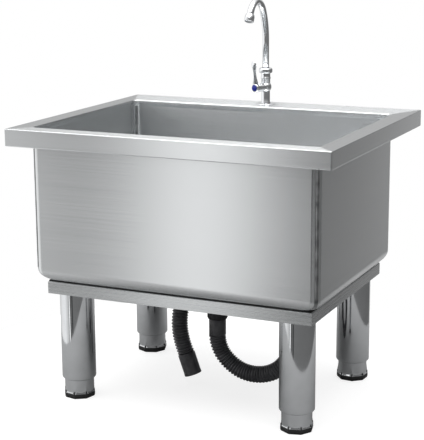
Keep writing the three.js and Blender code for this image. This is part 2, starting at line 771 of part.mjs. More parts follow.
// The lever: a domed hub about the handle's axis and a waisted blade that leans away from the tap.
function lever() {
  const { root, waist, waistAt, end, endAt, depth, lean, start } = BLADE;
  const blade = new THREE.Shape();
  blade.moveTo(-root, 0);
  blade.bezierCurveTo(-root + 1.5, 0.4 * waistAt, -waist, 0.6 * waistAt, -waist, waistAt);
  blade.bezierCurveTo(-waist, waistAt + 10, -end, endAt - 8, -end, endAt);
  blade.absarc(0, endAt + 1, end, Math.PI, 0, true);
  blade.bezierCurveTo(end, endAt - 8, waist, waistAt + 10, waist, waistAt);
  blade.bezierCurveTo(waist, 0.6 * waistAt, root - 1.5, 0.4 * waistAt, root, 0);
  blade.closePath();
  const flat = new THREE.ExtrudeGeometry(blade, { depth, bevelEnabled: false, curveSegments: 6 });
  flat.rotateX(THREE.MathUtils.degToRad(lean)).translate(0, 0, start);
  const socket = bar(HUB_SOCKET.radius, HUB_SOCKET.radius, HUB_SOCKET.start, HUB_SOCKET.end, SMALL);
  return cut(join(turned(HUB, NARROW), flat), socket);
}

const tap = place(0, TAP.y, RIM.top);
const spout = new SpoutPath();
const mouth = spout.walk(spout.total);
const nozzle = place(0, -mouth.reach, mouth.height, tap);
nozzle.rotation.x = mouth.heading;
const handle = place(0, 0, TAP.handleHeight, tap);
handle.rotation.set(Math.PI / 2, 0, THREE.MathUtils.degToRad(TAP.handleTurn), 'ZYX');

const underDeck = -SHEET - GAP;
const washer = ring(WASHER.bore, WASHER.radius, underDeck - WASHER.thickness, underDeck, NARROW);
const backnut = hexNut(BACKNUT.flatRadius, WASHER.bore, BACKNUT.bottom, underDeck - WASHER.thickness - GAP);
part('tap_flange', turned(FLANGE, WIDE), CHROME, tap);
part('tap_body', tapBody(), CHROME, tap);
part('tap_shank', ring(SHANK.bore, SHANK.radius, SHANK.bottom, SHANK.top, NARROW), BRASS, tap);
part('tap_washer', washer, BLACK_RUBBER, tap);
part('tap_locknut', backnut, BRASS, tap);
part('tap_spout_nut', turned(SPOUT_NUT, NARROW), CHROME, tap);
part('tap_spout', swept(spout, circleOutline(SPOUT.radius, SPOUT.bore), 18, 6), CHROME, tap);
part('tap_aerator', turned(AERATOR, NARROW), CHROME, nozzle);
part('tap_cartridge', cartridge(), BRASS, handle);
part('tap_bonnet', ring(BONNET.bore, BONNET.radius, BONNET.start, BONNET.end, NARROW), CHROME, handle);
part('tap_lever', lever(), CHROME, handle);
part('tap_index_button', turned(BUTTON, NARROW), BLUE_PLASTIC, handle);

export default group;
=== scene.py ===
"""Looks of a stainless steel pet bathtub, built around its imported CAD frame.

Everything is in metres, in the frame of the CAD model: +Z up, the front of the bath towards -Y.
"""
import json
import logging
import math
from collections.abc import Callable, Sequence
from dataclasses import dataclass, field
from enum import Enum

import bmesh
import bpy
from bmesh.types import BMesh, BMEdge, BMFace, BMVert
from mathutils import Matrix, Quaternion, Vector

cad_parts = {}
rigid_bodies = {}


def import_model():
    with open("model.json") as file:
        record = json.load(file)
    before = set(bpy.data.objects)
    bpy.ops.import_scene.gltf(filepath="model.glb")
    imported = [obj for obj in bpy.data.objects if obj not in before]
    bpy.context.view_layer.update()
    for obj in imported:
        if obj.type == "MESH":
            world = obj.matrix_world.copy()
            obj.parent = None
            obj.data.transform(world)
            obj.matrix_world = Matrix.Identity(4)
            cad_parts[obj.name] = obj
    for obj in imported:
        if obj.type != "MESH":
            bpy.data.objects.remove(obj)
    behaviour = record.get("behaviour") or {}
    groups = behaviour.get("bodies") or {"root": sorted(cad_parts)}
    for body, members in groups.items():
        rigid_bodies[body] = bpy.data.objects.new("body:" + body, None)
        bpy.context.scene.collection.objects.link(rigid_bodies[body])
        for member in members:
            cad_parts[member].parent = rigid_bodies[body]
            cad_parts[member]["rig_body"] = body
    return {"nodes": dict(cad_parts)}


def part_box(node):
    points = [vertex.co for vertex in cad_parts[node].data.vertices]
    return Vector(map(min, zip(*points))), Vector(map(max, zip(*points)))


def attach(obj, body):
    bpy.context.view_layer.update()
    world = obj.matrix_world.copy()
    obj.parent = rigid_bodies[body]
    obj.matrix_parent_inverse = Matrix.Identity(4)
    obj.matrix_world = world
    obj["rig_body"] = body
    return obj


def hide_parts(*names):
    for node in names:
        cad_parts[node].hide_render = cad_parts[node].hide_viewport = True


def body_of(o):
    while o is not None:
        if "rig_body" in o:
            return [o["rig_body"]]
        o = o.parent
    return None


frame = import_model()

log = logging.getLogger("pet_bathtub")

MM = 0.001
WHOLE_TURN = math.tau
UP = Vector((0, 0, 1))
# Points closer together than this count as one place.
NEAR = 0.01 * MM
EIGHTH = WHOLE_TURN / 8

Outline = Sequence[tuple[float, float]]


# ---------------------------------------------------------------- mesh helpers


def lengths(millimetres: Outline) -> list[tuple[float, float]]:
    """A profile in millimetres turned to metres."""
    return [(a * MM, b * MM) for a, b in millimetres]


def arc(
    middle: tuple[float, float],
    radius: float,
    start: float,
    end: float,
    steps: int,
) -> list[tuple[float, float]]:
    """Points along an arc in a profile's plane.

    Args:
        middle: Centre of the arc.
        radius: Radius of the arc.
        start: First angle in degrees, measured from the outward direction.
        end: Last angle in degrees.
        steps: Number of chords.

    Returns:
        The points, both ends included.
    """
    turns = [math.radians(start + (end - start) * i / steps) for i in range(steps + 1)]
    return [(middle[0] + radius * math.cos(a), middle[1] + radius * math.sin(a)) for a in turns]


def box_mesh(low: Vector, high: Vector) -> BMesh:
    """A closed box between two corners."""
    mesh = bmesh.new()
    bmesh.ops.create_cube(mesh, size=1)
    bmesh.ops.scale(mesh, vec=high - low, verts=mesh.verts)
    bmesh.ops.translate(mesh, vec=(low + high) / 2, verts=mesh.verts)
    return mesh


def lathe(profile: Outline, steps: int = 48, closed: bool = False) -> BMesh:
    """Turns a profile of (radius, height) points, in metres, about the Z axis.

    Args:
        profile: The points, starting and ending on the axis unless closed.
        steps: Number of facets round the axis.
        closed: Whether the last point joins the first, as in a ring.

    Returns:
        A closed mesh with its faces pointing out.
    """
    mesh = bmesh.new()
    verts = [mesh.verts.new((radius, 0, height)) for radius, height in profile]
    edges = [mesh.edges.new(pair) for pair in zip(verts, verts[1:])]
    if closed:
        edges.append(mesh.edges.new((verts[-1], verts[0])))
    bmesh.ops.spin(
        mesh, geom=verts + edges, cent=(0, 0, 0), axis=UP, angle=WHOLE_TURN, steps=steps, use_merge=True)
    bmesh.ops.remove_doubles(mesh, verts=mesh.verts, dist=NEAR)
    bmesh.ops.recalc_face_normals(mesh, faces=mesh.faces)
    return mesh


def ring_of(inner: float, outer: float, low: float, high: float, steps: int, round_by: float) -> BMesh:
    """A plain ring with rounded edges.

    Args:
        inner: Inner radius.
        outer: Outer radius.
        low: Bottom height.
        high: Top height.
        steps: Number of facets round the axis.
        round_by: Radius of the rounded edges.

    Returns:
        The closed mesh.
    """
    section = [(inner, low), (outer, low), (outer, high), (inner, high)]
    return soften(lathe(section, steps, closed=True), round_by)


def prism(
    sides: int,
    radius: float,
    low: float,
    high: float,
    turn: float = 0.0,
    top_radius: float | None = None,
) -> BMesh:
    """An upright bar of a number of sides between two heights.

    Args:
        sides: Number of sides.
        radius: Distance from the axis to the corners at the bottom.
        low: Bottom height.
        high: Top height.
        turn: Turn about the axis in radians.
        top_radius: Corner distance at the top, where it differs.

    Returns:
        The closed mesh.
    """
    mesh = bmesh.new()
    bmesh.ops.create_cone(
        mesh, cap_ends=True, segments=sides, radius1=radius,
        radius2=radius if top_radius is None else top_radius, depth=high - low)
    bmesh.ops.rotate(mesh, cent=(0, 0, 0), matrix=Matrix.Rotation(turn, 3, "Z"), verts=mesh.verts)
    bmesh.ops.translate(mesh, vec=(0, 0, (low + high) / 2), verts=mesh.verts)
    return mesh


def soften(
    mesh: BMesh,
    width: float,
    angle: float = 40.0,
    segments: int = 2,
    pick: Callable[[BMEdge], bool] | None = None,
) -> BMesh:
    """Rounds the sharp edges of a mesh.

    Args:
        mesh: The mesh to change.
        width: Radius of the round, in metres.
        angle: Smallest bend in degrees that counts as sharp.
        segments: Number of strips in each round.
        pick: A test that an edge has to pass as well.

    Returns:
        The same mesh.
    """
    limit = math.radians(angle)
    sharp = [e for e in mesh.edges if len(e.link_faces) == 2 and e.calc_face_angle(0) > limit]
    if pick is not None:
        sharp = [e for e in sharp if pick(e)]
    bmesh.ops.bevel(
        mesh, geom=sharp, offset=width, offset_type="OFFSET", segments=segments, profile=0.5,
        affect="EDGES", material=-1, clamp_overlap=True, loop_slide=True)
    return mesh


def bend(mesh: BMesh, edges: Sequence[BMEdge], radius: float, segments: int) -> None:
    """Turns edges of folded sheet into bends of a radius, in a number of strips."""
    bmesh.ops.bevel(
        mesh, geom=edges, offset=radius, offset_type="OFFSET", segments=segments, profile=0.5,
        affect="EDGES", material=-1, clamp_overlap=False)


def merge(target: BMesh, *others: BMesh) -> BMesh:
    """Adds the faces of other meshes to one mesh and frees them."""
    for other in others:
        spare = bpy.data.meshes.new("spare")
        other.to_mesh(spare)
        other.free()
        target.from_mesh(spare)
        bpy.data.meshes.remove(spare)
    return target


def moved(mesh: BMesh, place: Vector | Sequence[float] | Matrix) -> BMesh:
    """Moves a mesh by a vector, or by a whole matrix."""
    if isinstance(place, Matrix):
        bmesh.ops.transform(mesh, matrix=place, verts=mesh.verts)
    else:
        bmesh.ops.translate(mesh, vec=Vector(place), verts=mesh.verts)
    return mesh


def face_out(mesh: BMesh, probe: Vector) -> BMesh:
    """Points the faces of an open sheet to the side where a probe point lies."""
    bmesh.ops.recalc_face_normals(mesh, faces=mesh.faces)
    nearest = min(mesh.faces, key=lambda f: (f.calc_center_median() - probe).length)
    if (probe - nearest.calc_center_median()).dot(nearest.normal) < 0:
        bmesh.ops.reverse_faces(mesh, faces=mesh.faces)
    return mesh


# ---------------------------------------------------------------- materials


def linear(colour: str) -> tuple[float, float, float, float]:
    """An sRGB hex colour such as "c8cacb" turned to a linear colour with full alpha."""
    parts = [int(colour[i:i + 2], 16) / 255 for i in (0, 2, 4)]
    red, green, blue = (p / 12.92 if p <= 0.04045 else ((p + 0.055) / 1.055) ** 2.4 for p in parts)
    return red, green, blue, 1.0


def grey(level: float) -> tuple[float, float, float, float]:
    """An even grey of a linear brightness, with full alpha."""
    return level, level, level, 1.0


def add_node(
    tree: bpy.types.NodeTree, kind: str, inputs: dict | None = None, **settings: object
) -> bpy.types.Node:
    """Adds one node with its settings, its input values and its links.

    Args:
        tree: The node tree.
        kind: The node's type name.
        inputs: A value or an output socket for each named or numbered input.
        settings: Attributes to set on the node, before its inputs.

    Returns:
        The new node.
    """
    node = tree.nodes.new(kind)
    for name, value in settings.items():
        setattr(node, name, value)
    for key, value in (inputs or {}).items():
        if isinstance(value, bpy.types.NodeSocket):
            tree.links.new(value, node.inputs[key])
        else:
            node.inputs[key].default_value = value
    return node


def colour_between(
    tree: bpy.types.NodeTree, share: bpy.types.NodeSocket, dark: str, light: str
) -> bpy.types.NodeSocket:
    """Mixes two hex colours by a share from 0 to 1 and returns the mixed colour's socket."""
    ends = {"Factor": share, "A": linear(dark), "B": linear(light)}
    return add_node(tree, "ShaderNodeMix", ends, data_type="RGBA").outputs["Result"]


def band(
    tree: bpy.types.NodeTree,
    value: bpy.types.NodeSocket,
    low: float,
    high: float,
    to_low: float = 0.0,
    to_high: float = 1.0,
) -> bpy.types.NodeSocket:
    """Maps a value from one range to another, clamped, and returns the result's socket."""
    node = add_node(tree, "ShaderNodeMapRange", {
        "Value": value, "From Min": low, "From Max": high, "To Min": to_low, "To Max": to_high})
    return node.outputs["Result"]


def spread(
    tree: bpy.types.NodeTree, noise: bpy.types.NodeSocket, low: float = 0.0, high: float = 1.0
) -> bpy.types.NodeSocket:
    """Maps a noise, which stays mostly between 0.3 and 0.7, to a range of its own."""
    return band(tree, noise, 0.3, 0.7, low, high)


def speckle(
    tree: bpy.types.NodeTree, place: bpy.types.NodeSocket, size: float, detail: float
) -> bpy.types.NodeSocket:
    """A noise with features about a size in metres across, and octaves of finer detail."""
    noise = add_node(tree, "ShaderNodeTexNoise", {"Vector": place, "Scale": 1 / size, "Detail": detail})
    return noise.outputs["Fac"]


def relief(
    tree: bpy.types.NodeTree, height: bpy.types.NodeSocket, strength: float, depth: float
) -> bpy.types.NodeSocket:
    """The normal of a surface with a fine relief, its depth in metres."""
    bump = add_node(tree, "ShaderNodeBump", {"Strength": strength, "Distance": depth, "Height": height})
    return bump.outputs["Normal"]


class Grain(Enum):
    """Which way the brushing runs."""

    LEVEL = "level"
    ALONG_X = "along_x"
    ALONG_Y = "along_y"


@dataclass(frozen=True)
class Finish:
    """What every finish has: a name, a word for the piece's name and the record's slot."""

    name: str
    word: str
    slot: str

    def new_tree(self) -> tuple[bpy.types.Material, bpy.types.NodeTree, bpy.types.NodeSocket]:
        """A material with an empty tree.

        Returns:
            The material, its tree and the Object coordinates' socket.
        """
        material = bpy.data.materials.new(self.name)
        material.use_nodes = True
        tree = material.node_tree
        tree.nodes.clear()
        place = add_node(tree, "ShaderNodeTexCoord").outputs["Object"]
        return material, tree, place

    def close(self, tree: bpy.types.NodeTree, inputs: dict) -> bpy.types.Node:
        """Adds the shader with its inputs and the output."""
        shader = add_node(tree, "ShaderNodeBsdfPrincipled", inputs)
        add_node(tree, "ShaderNodeOutputMaterial", {"Surface": shader.outputs["BSDF"]})
        return shader

    def build(self) -> bpy.types.Material:
        """Makes the material."""
        raise NotImplementedError

    def material(self) -> bpy.types.Material:
        """The material, made on its first use."""
        return bpy.data.materials.get(self.name) or self.build()


@dataclass(frozen=True)
class BrushedStainless(Finish):
    """Type 304 sheet with a number 4 finish, brushed with an abrasive belt.

    The belt's fine parallel scratches spread each reflection across the lines, so light and dark
    stand as soft bands across the grain. Real lines are 0.1 mm apart; they are drawn 1.1 mm apart to show.
    """

    grain: Grain = Grain.LEVEL
    light: str = "dadcdd"
    dark: str = "d5d7d8"
    roughness: float = 0.25
    anisotropy: float = 0.97
    pitch: float = 1.1 * MM
    line: float = 600 * MM
    bump: float = 0.008
    depth: float = 0.03 * MM
    smoother: float = 0.012
    rougher: float = 0.02

    def build(self) -> bpy.types.Material:
        """Makes the brushed material, its lines stretched along the grain."""
        material, tree, place = self.new_tree()
        across, along = 1 / self.pitch, 1 / self.line
        density = {
            Grain.LEVEL: (along, along, across),
            Grain.ALONG_X: (along, across, across),
            Grain.ALONG_Y: (across, along, across),
        }[self.grain]
        stretch = add_node(tree, "ShaderNodeMapping", {"Vector": place, "Scale": density})
        noise = add_node(tree, "ShaderNodeTexNoise", {
            "Vector": stretch.outputs["Vector"], "Scale": 1.0, "Detail": 2.0, "Roughness": 0.55})
        lines = noise.outputs["Fac"]
        self.close(tree, {
            "Base Color": colour_between(tree, spread(tree, lines), self.dark, self.light),
            "Metallic": 1.0,
            "Roughness": spread(tree, lines, self.roughness - self.smoother, self.roughness + self.rougher),
            "Anisotropic": self.anisotropy,
            "Tangent": self.tangent(tree),
            "Normal": relief(tree, lines, self.bump, self.depth)})
        return material

    def tangent(self, tree: bpy.types.NodeTree) -> bpy.types.NodeSocket:
        """The direction on the surface across the grain, along which reflections spread."""
        if self.grain is Grain.LEVEL:
            return add_node(tree, "ShaderNodeCombineXYZ", {"Z": 1.0}).outputs["Vector"]
        line = (1, 0, 0) if self.grain is Grain.ALONG_X else (0, 1, 0)
        normal = add_node(tree, "ShaderNodeNewGeometry").outputs["Normal"]
        across = add_node(tree, "ShaderNodeVectorMath", {0: normal, 1: line}, operation="CROSS_PRODUCT")
        return across.outputs["Vector"]


@dataclass(frozen=True)
class PolishedMetal(Finish):
    """Polished or plated metal: a near mirror with a faint haze.

    Chrome over nickel reads cooler and sharper than buffed stainless tube, whose haze softens the
    reflections. The haze varies in soft patches some centimetres across.
    """

    light: str = "dfe1e3"
    dark: str = "d0d2d4"
    roughness: float = 0.08
    patch: float = 30 * MM
    clear: float = 0.8
    hazy: float = 1.3

    def build(self) -> bpy.types.Material:
        """Makes the polished material."""
        material, tree, place = self.new_tree()
        haze = speckle(tree, place, self.patch, 2.0)
        self.close(tree, {
            "Base Color": colour_between(tree, haze, self.dark, self.light),
            "Metallic": 1.0,
            "Roughness": spread(tree, haze, self.roughness * self.clear, self.roughness * self.hazy)})
        return material


@dataclass(frozen=True)
class SpeckledMetal(Finish):
    """Zinc plate, cast or ground metal: a matt metal with fine grain and slight mottling."""

    light: str = "b4b6b8"
    dark: str = "8f9294"
    roughness: float = 0.42
    speck: float = 1.2 * MM
    # Size of the mottling in specks.
    mottle: float = 12.5
    bump: float = 0.4
    depth: float = 0.03 * MM
    smoother: float = 0.06
    rougher: float = 0.08

    def build(self) -> bpy.types.Material:
        """Makes the mottled material."""
        material, tree, place = self.new_tree()
        fine = speckle(tree, place, self.speck, 3.0)
        broad = speckle(tree, place, self.mottle * self.speck, 2.0)
        self.close(tree, {
            "Base Color": colour_between(tree, spread(tree, broad), self.dark, self.light),
            "Metallic": 1.0,
            "Roughness": spread(tree, fine, self.roughness - self.smoother, self.roughness + self.rougher),
            "Normal": relief(tree, fine, self.bump, self.depth)})
        return material


@dataclass(frozen=True)
class Moulded(Finish):
    """Moulded rubber or plastic: an even colour, a faint texture and a soft or glossy skin."""

    light: str = "262627"
    dark: str = "1b1b1c"
    roughness: float = 0.5
    grain: float = 0.8 * MM
    # Size of the colour's drift in grains.
    mottle: float = 25.0
    bump: float = 0.5
    depth: float = 0.04 * MM
    smoother: float = 0.05
    rougher: float = 0.06

    def build(self) -> bpy.types.Material:
        """Makes the moulded material."""
        material, tree, place = self.new_tree()
        fine = speckle(tree, place, self.grain, 2.0)
        broad = speckle(tree, place, self.mottle * self.grain, 3.0)
        self.close(tree, {
            "Base Color": colour_between(tree, spread(tree, broad), self.dark, self.light),
            "Roughness": spread(tree, fine, self.roughness - self.smoother, self.roughness + self.rougher),
            "Normal": relief(tree, fine, self.bump, self.depth)})
        return material


# The bowl's walls and the frame, brushed level all the way round.
WALL = BrushedStainless("stainless_brushed_level", "brushed", "brushed_stainless")
# The rim's front and back strips and, with the grain turned, its two sides.
DECK_X = BrushedStainless("stainless_brushed_along_x", "brushed", "brushed_stainless", Grain.ALONG_X)
DECK_Y = BrushedStainless("stainless_brushed_along_y", "brushed", "brushed_stainless", Grain.ALONG_Y)
# The frame's angle bar is the same sheet with a coarser belt, so its lines show.
RAIL = BrushedStainless(
    "stainless_brushed_coarse", "brushed", "brushed_stainless", Grain.LEVEL,
    light="d0d2d3", dark="bcbebf", roughness=0.27, bump=0.02, pitch=2.2 * MM, line=250 * MM)
# Hot-rolled flat bar and plate, pickled dull after rolling.
MILL = SpeckledMetal(
    "stainless_mill_pickled", "mill", "mill_stainless", light="a9abac", dark="8b8d8e", roughness=0.45)
# Welds ground flush by hand: matt, with a mottled look beside the belt finish.
WELD = SpeckledMetal(
    "stainless_weld_ground", "weld", "brushed_stainless",
    light="c0c2c3", dark="7d7f80", roughness=0.36, speck=2.5 * MM, depth=0.12 * MM)
# Tube buffed on a wheel: a clear mirror with a little haze left.
TUBE = PolishedMetal("stainless_tube_buffed", "polished", "polished_stainless", roughness=0.07)
CHROME = PolishedMetal(
    "chrome_plate", "chrome", "chrome_plate", light="e4e6ea", dark="dcdee2", roughness=0.05)
ZINC = SpeckledMetal("steel_zinc_plated", "zinc", "zinc_steel")
BRASS = SpeckledMetal("brass_turned", "brass", "plain_brass", light="c8a860", dark="a88844", roughness=0.34)
# Filled rubber drinks the light, so it stays near black where the plastic beside it shines.
RUBBER = Moulded(
    "rubber_moulded_black", "rubber", "black_rubber", light="1d1d1e", dark="121213", roughness=0.62)
# Blow-moulded polypropylene tube: its soft skin gives the ribs a broad satin highlight.
HOSE = Moulded(
    "polypropylene_blow_moulded", "black", "hose_rubber", light="5c5c5f", dark="434346", roughness=0.30)
# Injection-moulded polypropylene, a little darker and duller than the hose.
PLASTIC = Moulded(
    "polypropylene_injected", "black", "black_plastic", light="262627", dark="1a1a1b", roughness=0.48)
BLUE = Moulded(
    "abs_gloss_blue", "blue", "blue_plastic", light="1e2c9a", dark="18237f", roughness=0.14, depth=0.0)


# ---------------------------------------------------------------- finished pieces


class Shading(Enum):
    """How a piece's faces are smoothed."""

    ROUND = "round"
    PANEL = "panel"


def finished(
    node: str,
    mesh: BMesh,
    *finishes: Finish,
    part: str = "",
    wall: float = 0.0,
    shading: Shading = Shading.ROUND,
    sharp: float = 42.0,
) -> bpy.types.Object:
    """Turns a mesh into the piece that stands for a CAD node.

    Args:
        node: The CAD node that the piece belongs to and rides with.
        mesh: The mesh, which is freed.
        finishes: The finishes, in the order of the faces' material numbers.
        part: A name of its own for a piece that adds detail and replaces no node.
        wall: Thickness in metres that a sheet gets, inwards.
        shading: ROUND for turned and bent shapes, PANEL for flat sheet with narrow bends.
        sharp: Bend in degrees above which an edge stays sharp.

    Returns:
        The finished object.
    """
    name = part or f"{node}_{finishes[0].word}"
    data = bpy.data.meshes.new(name)
    mesh.to_mesh(data)
    mesh.free()
    data.shade_smooth()
    data.set_sharp_from_angle(angle=math.radians(sharp))
    for finish in finishes:
        data.materials.append(finish.material())
    piece = bpy.data.objects.new(name, data)
    bpy.context.scene.collection.objects.link(piece)
    if wall > 0:
        sheet = piece.modifiers.new("sheet", "SOLIDIFY")
        sheet.thickness, sheet.offset, sheet.use_even_offset = wall, -1, True
    if shading is Shading.PANEL:
        flat = piece.modifiers.new("flat_panels", "WEIGHTED_NORMAL")
        flat.keep_sharp = True
    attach(piece, body_of(frame["nodes"][node])[0])
    if not part:
        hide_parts(node)
    log.info("%s: %d faces", name, len(data.polygons))
    return piece


def coat(node: str, finish: Finish) -> None:
    """Gives a CAD node that stays in view its finish."""
    materials = frame["nodes"][node].data.materials
    materials.clear()
    materials.append(finish.material())
    log.info("%s: coated", node)


# ---------------------------------------------------------------- studio


@dataclass
class Studio:
    """A pale floor, soft lights and the camera."""

    camera_place: Vector = field(default_factory=lambda: Vector((1.3091, -2.8971, 1.1405)))
    yaw: float = 24.737
    pitch: float = 12.8045
    roll: float = -0.3775
    lens: float = 109.13
    sensor: float = 36.0
    clip_start: float = 0.05
    clip_end: float = 50.0
    floor_radius: float = 0.76
    floor_sides: int = 96
    floor_colour: str = "9c9c9c"
    floor_roughness: float = 0.9
    # Brightness of the walls by direction in degrees, 0 towards the front and 90 to the right.
    wall_bands: tuple[tuple[float, float], ...] = (
        (-180, 0.45), (-168, 0.55), (-140, 0.60), (-90, 1.05), (-60, 1.10), (-37, 0.70), (-32.6, 0.70),
        (-31.4, 0.05), (-30.2, 0.16), (-29, 0.36), (-27.9, 0.90), (-26.6, 1.50), (-25, 1.75), (-23.9, 1.30),
        (-22.6, 0.58), (-21.3, 0.12), (-17, 0.12), (-11, 0.22), (-8, 0.05), (-4, 0.04), (0, 0.20),
        (7, 0.22), (11, 0.03), (46, 0.03), (50, 0.45), (60, 0.45), (64, 0.05), (76, 0.05), (82, 0.36),
        (159.5, 0.30), (162, 0.60), (164.5, 0.15))
    # The floor glows towards the viewer, which keeps its shadows light.
    floor_glow: float = 0.77
    lamp_place: tuple[float, float, float] = (-0.2, -0.3, 3.0)
    lamp_aim: tuple[float, float, float] = (-0.1, 0.0, 0.0)
    lamp_size: tuple[float, float] = (3.4, 3.0)
    lamp_power: float = 95.0
    # Above the walls, between these two heights of the view's direction, the ceiling takes over.
    sky: float = 1.05
    sky_from: float = 0.35
    sky_to: float = 0.90

    def camera(self) -> None:
        """Makes the camera, looking at the front right corner from above the rim."""
        data = bpy.data.cameras.new("camera")
        data.lens, data.sensor_width = self.lens, self.sensor
        data.clip_start, data.clip_end = self.clip_start, self.clip_end
        camera = bpy.data.objects.new("camera", data)
        yaw, pitch, roll = (math.radians(a) for a in (self.yaw, self.pitch, self.roll))
        level = math.cos(pitch)
        look = Vector((-math.sin(yaw) * level, math.cos(yaw) * level, -math.sin(pitch)))
        camera.rotation_mode = "QUATERNION"
        camera.rotation_quaternion = look.to_track_quat("-Z", "Y") @ Quaternion(UP, roll)
        camera.location = self.camera_place
        bpy.context.scene.collection.objects.link(camera)
        bpy.context.scene.camera = camera
        bpy.context.scene.view_settings.view_transform = "Standard"

    def floor(self) -> None:
        """Makes a round pale floor."""
        mesh = bmesh.new()
        bmesh.ops.create_circle(mesh, cap_ends=True, segments=self.floor_sides, radius=self.floor_radius)
        data = bpy.data.meshes.new("floor")
        mesh.to_mesh(data)
        mesh.free()
        floor = bpy.data.objects.new("floor", data)
        material = bpy.data.materials.new("floor_painted_white")
        material.use_nodes = True
        tree = material.node_tree
        tree.nodes.clear()
        seen = add_node(tree, "ShaderNodeLightPath").outputs["Is Camera Ray"]
        shader = add_node(tree, "ShaderNodeBsdfPrincipled", {
            "Base Color": linear(self.floor_colour),
            "Roughness": self.floor_roughness,
            "Emission Color": linear("ffffff"),
            "Emission Strength": band(tree, seen, 0.0, 1.0, 0.0, self.floor_glow)})
        add_node(tree, "ShaderNodeOutputMaterial", {"Surface": shader.outputs["BSDF"]})
        data.materials.append(material)
        bpy.context.scene.collection.objects.link(floor)

    def overhead(self) -> None:
        """Adds a soft box above the bath that the camera doesn't see."""
        data = bpy.data.lights.new("overhead", "AREA")
        data.shape, data.energy = "RECTANGLE", self.lamp_power
        data.size, data.size_y = self.lamp_size
        lamp = bpy.data.objects.new("overhead", data)
        lamp.location = self.lamp_place
        lamp.rotation_mode = "QUATERNION"
        way = Vector(self.lamp_aim) - Vector(self.lamp_place)
        lamp.rotation_quaternion = way.to_track_quat("-Z", "Y")
        lamp.visible_camera = False
        bpy.context.scene.collection.objects.link(lamp)

    def wall_ramp(self, tree: bpy.types.NodeTree, share: bpy.types.NodeSocket) -> bpy.types.NodeSocket:
        """The walls' brightness round the studio, halved to stay within a colour's range.

        Args:
            tree: The world's node tree.
            share: The direction as a share of a whole turn, from the back round by the left.

        Returns:
            The brightness as a colour's socket.
        """
        ramp = add_node(tree, "ShaderNodeValToRGB", {"Fac": share})
        stops = ramp.color_ramp.elements
        while len(stops) > 1:
            stops.remove(stops[-1])
        for i, (angle, level) in enumerate(self.wall_bands):
            stop = stops[0] if i == 0 else stops.new(0.5)
            stop.position = angle / 360 + 0.5
            stop.color = grey(level / 2)
        return ramp.outputs["Color"]

    def walls(self) -> None:
        """Sets the studio's walls, which give the metal its light and dark bands."""
        world = bpy.data.worlds.new("studio")
        world.use_nodes = True
        tree = world.node_tree
        tree.nodes.clear()
        seen = add_node(tree, "ShaderNodeLightPath").outputs["Is Camera Ray"]
        way = add_node(tree, "ShaderNodeTexCoord").outputs["Generated"]
        parts = add_node(tree, "ShaderNodeSeparateXYZ", {"Vector": way}).outputs
        ahead = add_node(tree, "ShaderNodeMath", {0: parts["Y"], 1: -1.0}, operation="MULTIPLY")
        angle = add_node(tree, "ShaderNodeMath", {0: parts["X"], 1: ahead.outputs[0]}, operation="ARCTAN2")
        share = band(tree, angle.outputs[0], -math.pi, math.pi)
        height = band(tree, parts["Z"], self.sky_from, self.sky_to)
        around = add_node(tree, "ShaderNodeMix", {
            "Factor": height, "A": self.wall_ramp(tree, share), "B": grey(self.sky / 2)}, data_type="RGBA")
        lit = add_node(tree, "ShaderNodeBackground", {"Color": around.outputs["Result"], "Strength": 2.0})
        white = add_node(tree, "ShaderNodeBackground", {"Color": grey(1.0), "Strength": 1.0})
        both = add_node(tree, "ShaderNodeMixShader", {0: seen, 1: lit.outputs[0], 2: white.outputs[0]})
        add_node(tree, "ShaderNodeOutputWorld", {"Surface": both.outputs[0]})
        bpy.context.scene.world = world


# ---------------------------------------------------------------- drain hose


# Route of the ribbed hose in millimetres: down from the drain, a U to the right, up behind the front
# right leg, over to the left under the tub and behind the drain, then down to the floor.
HOSE_ROUTE = [
    (0, -27, 134), (0, -27, 126), (4, -27, 108), (15, -27, 86), (36, -27, 65), (65, -27, 49), (98, -27, 44),
    (131, -26, 49), (160, -24, 64), (181, -20, 88), (193, -14, 118), (197, -6, 150), (192, 4, 182),
    (178, 15, 212), (156, 26, 236), (127, 36, 252), (94, 43, 260), (58, 47, 262), (22, 48, 262),
    (-14, 44, 260), (-48, 33, 254), (-76, 16, 240), (-95, -3, 218), (-103, -17, 190), (-104, -26, 160),
    (-101, -30, 130), (-94, -31, 101), (-85, -31, 76),
]
HOSE_END = (-66, -31, 23)
# Which point of the route lies in the clip.
HOSE_CLIPPED = 16
# Short steps that the route is walked in to space its points evenly.
FINE_STEPS = 2000


def run_length(line: Sequence[Vector]) -> float:
    """Length of a line through points."""
    return sum((b - a).length for a, b in zip(line, line[1:]))


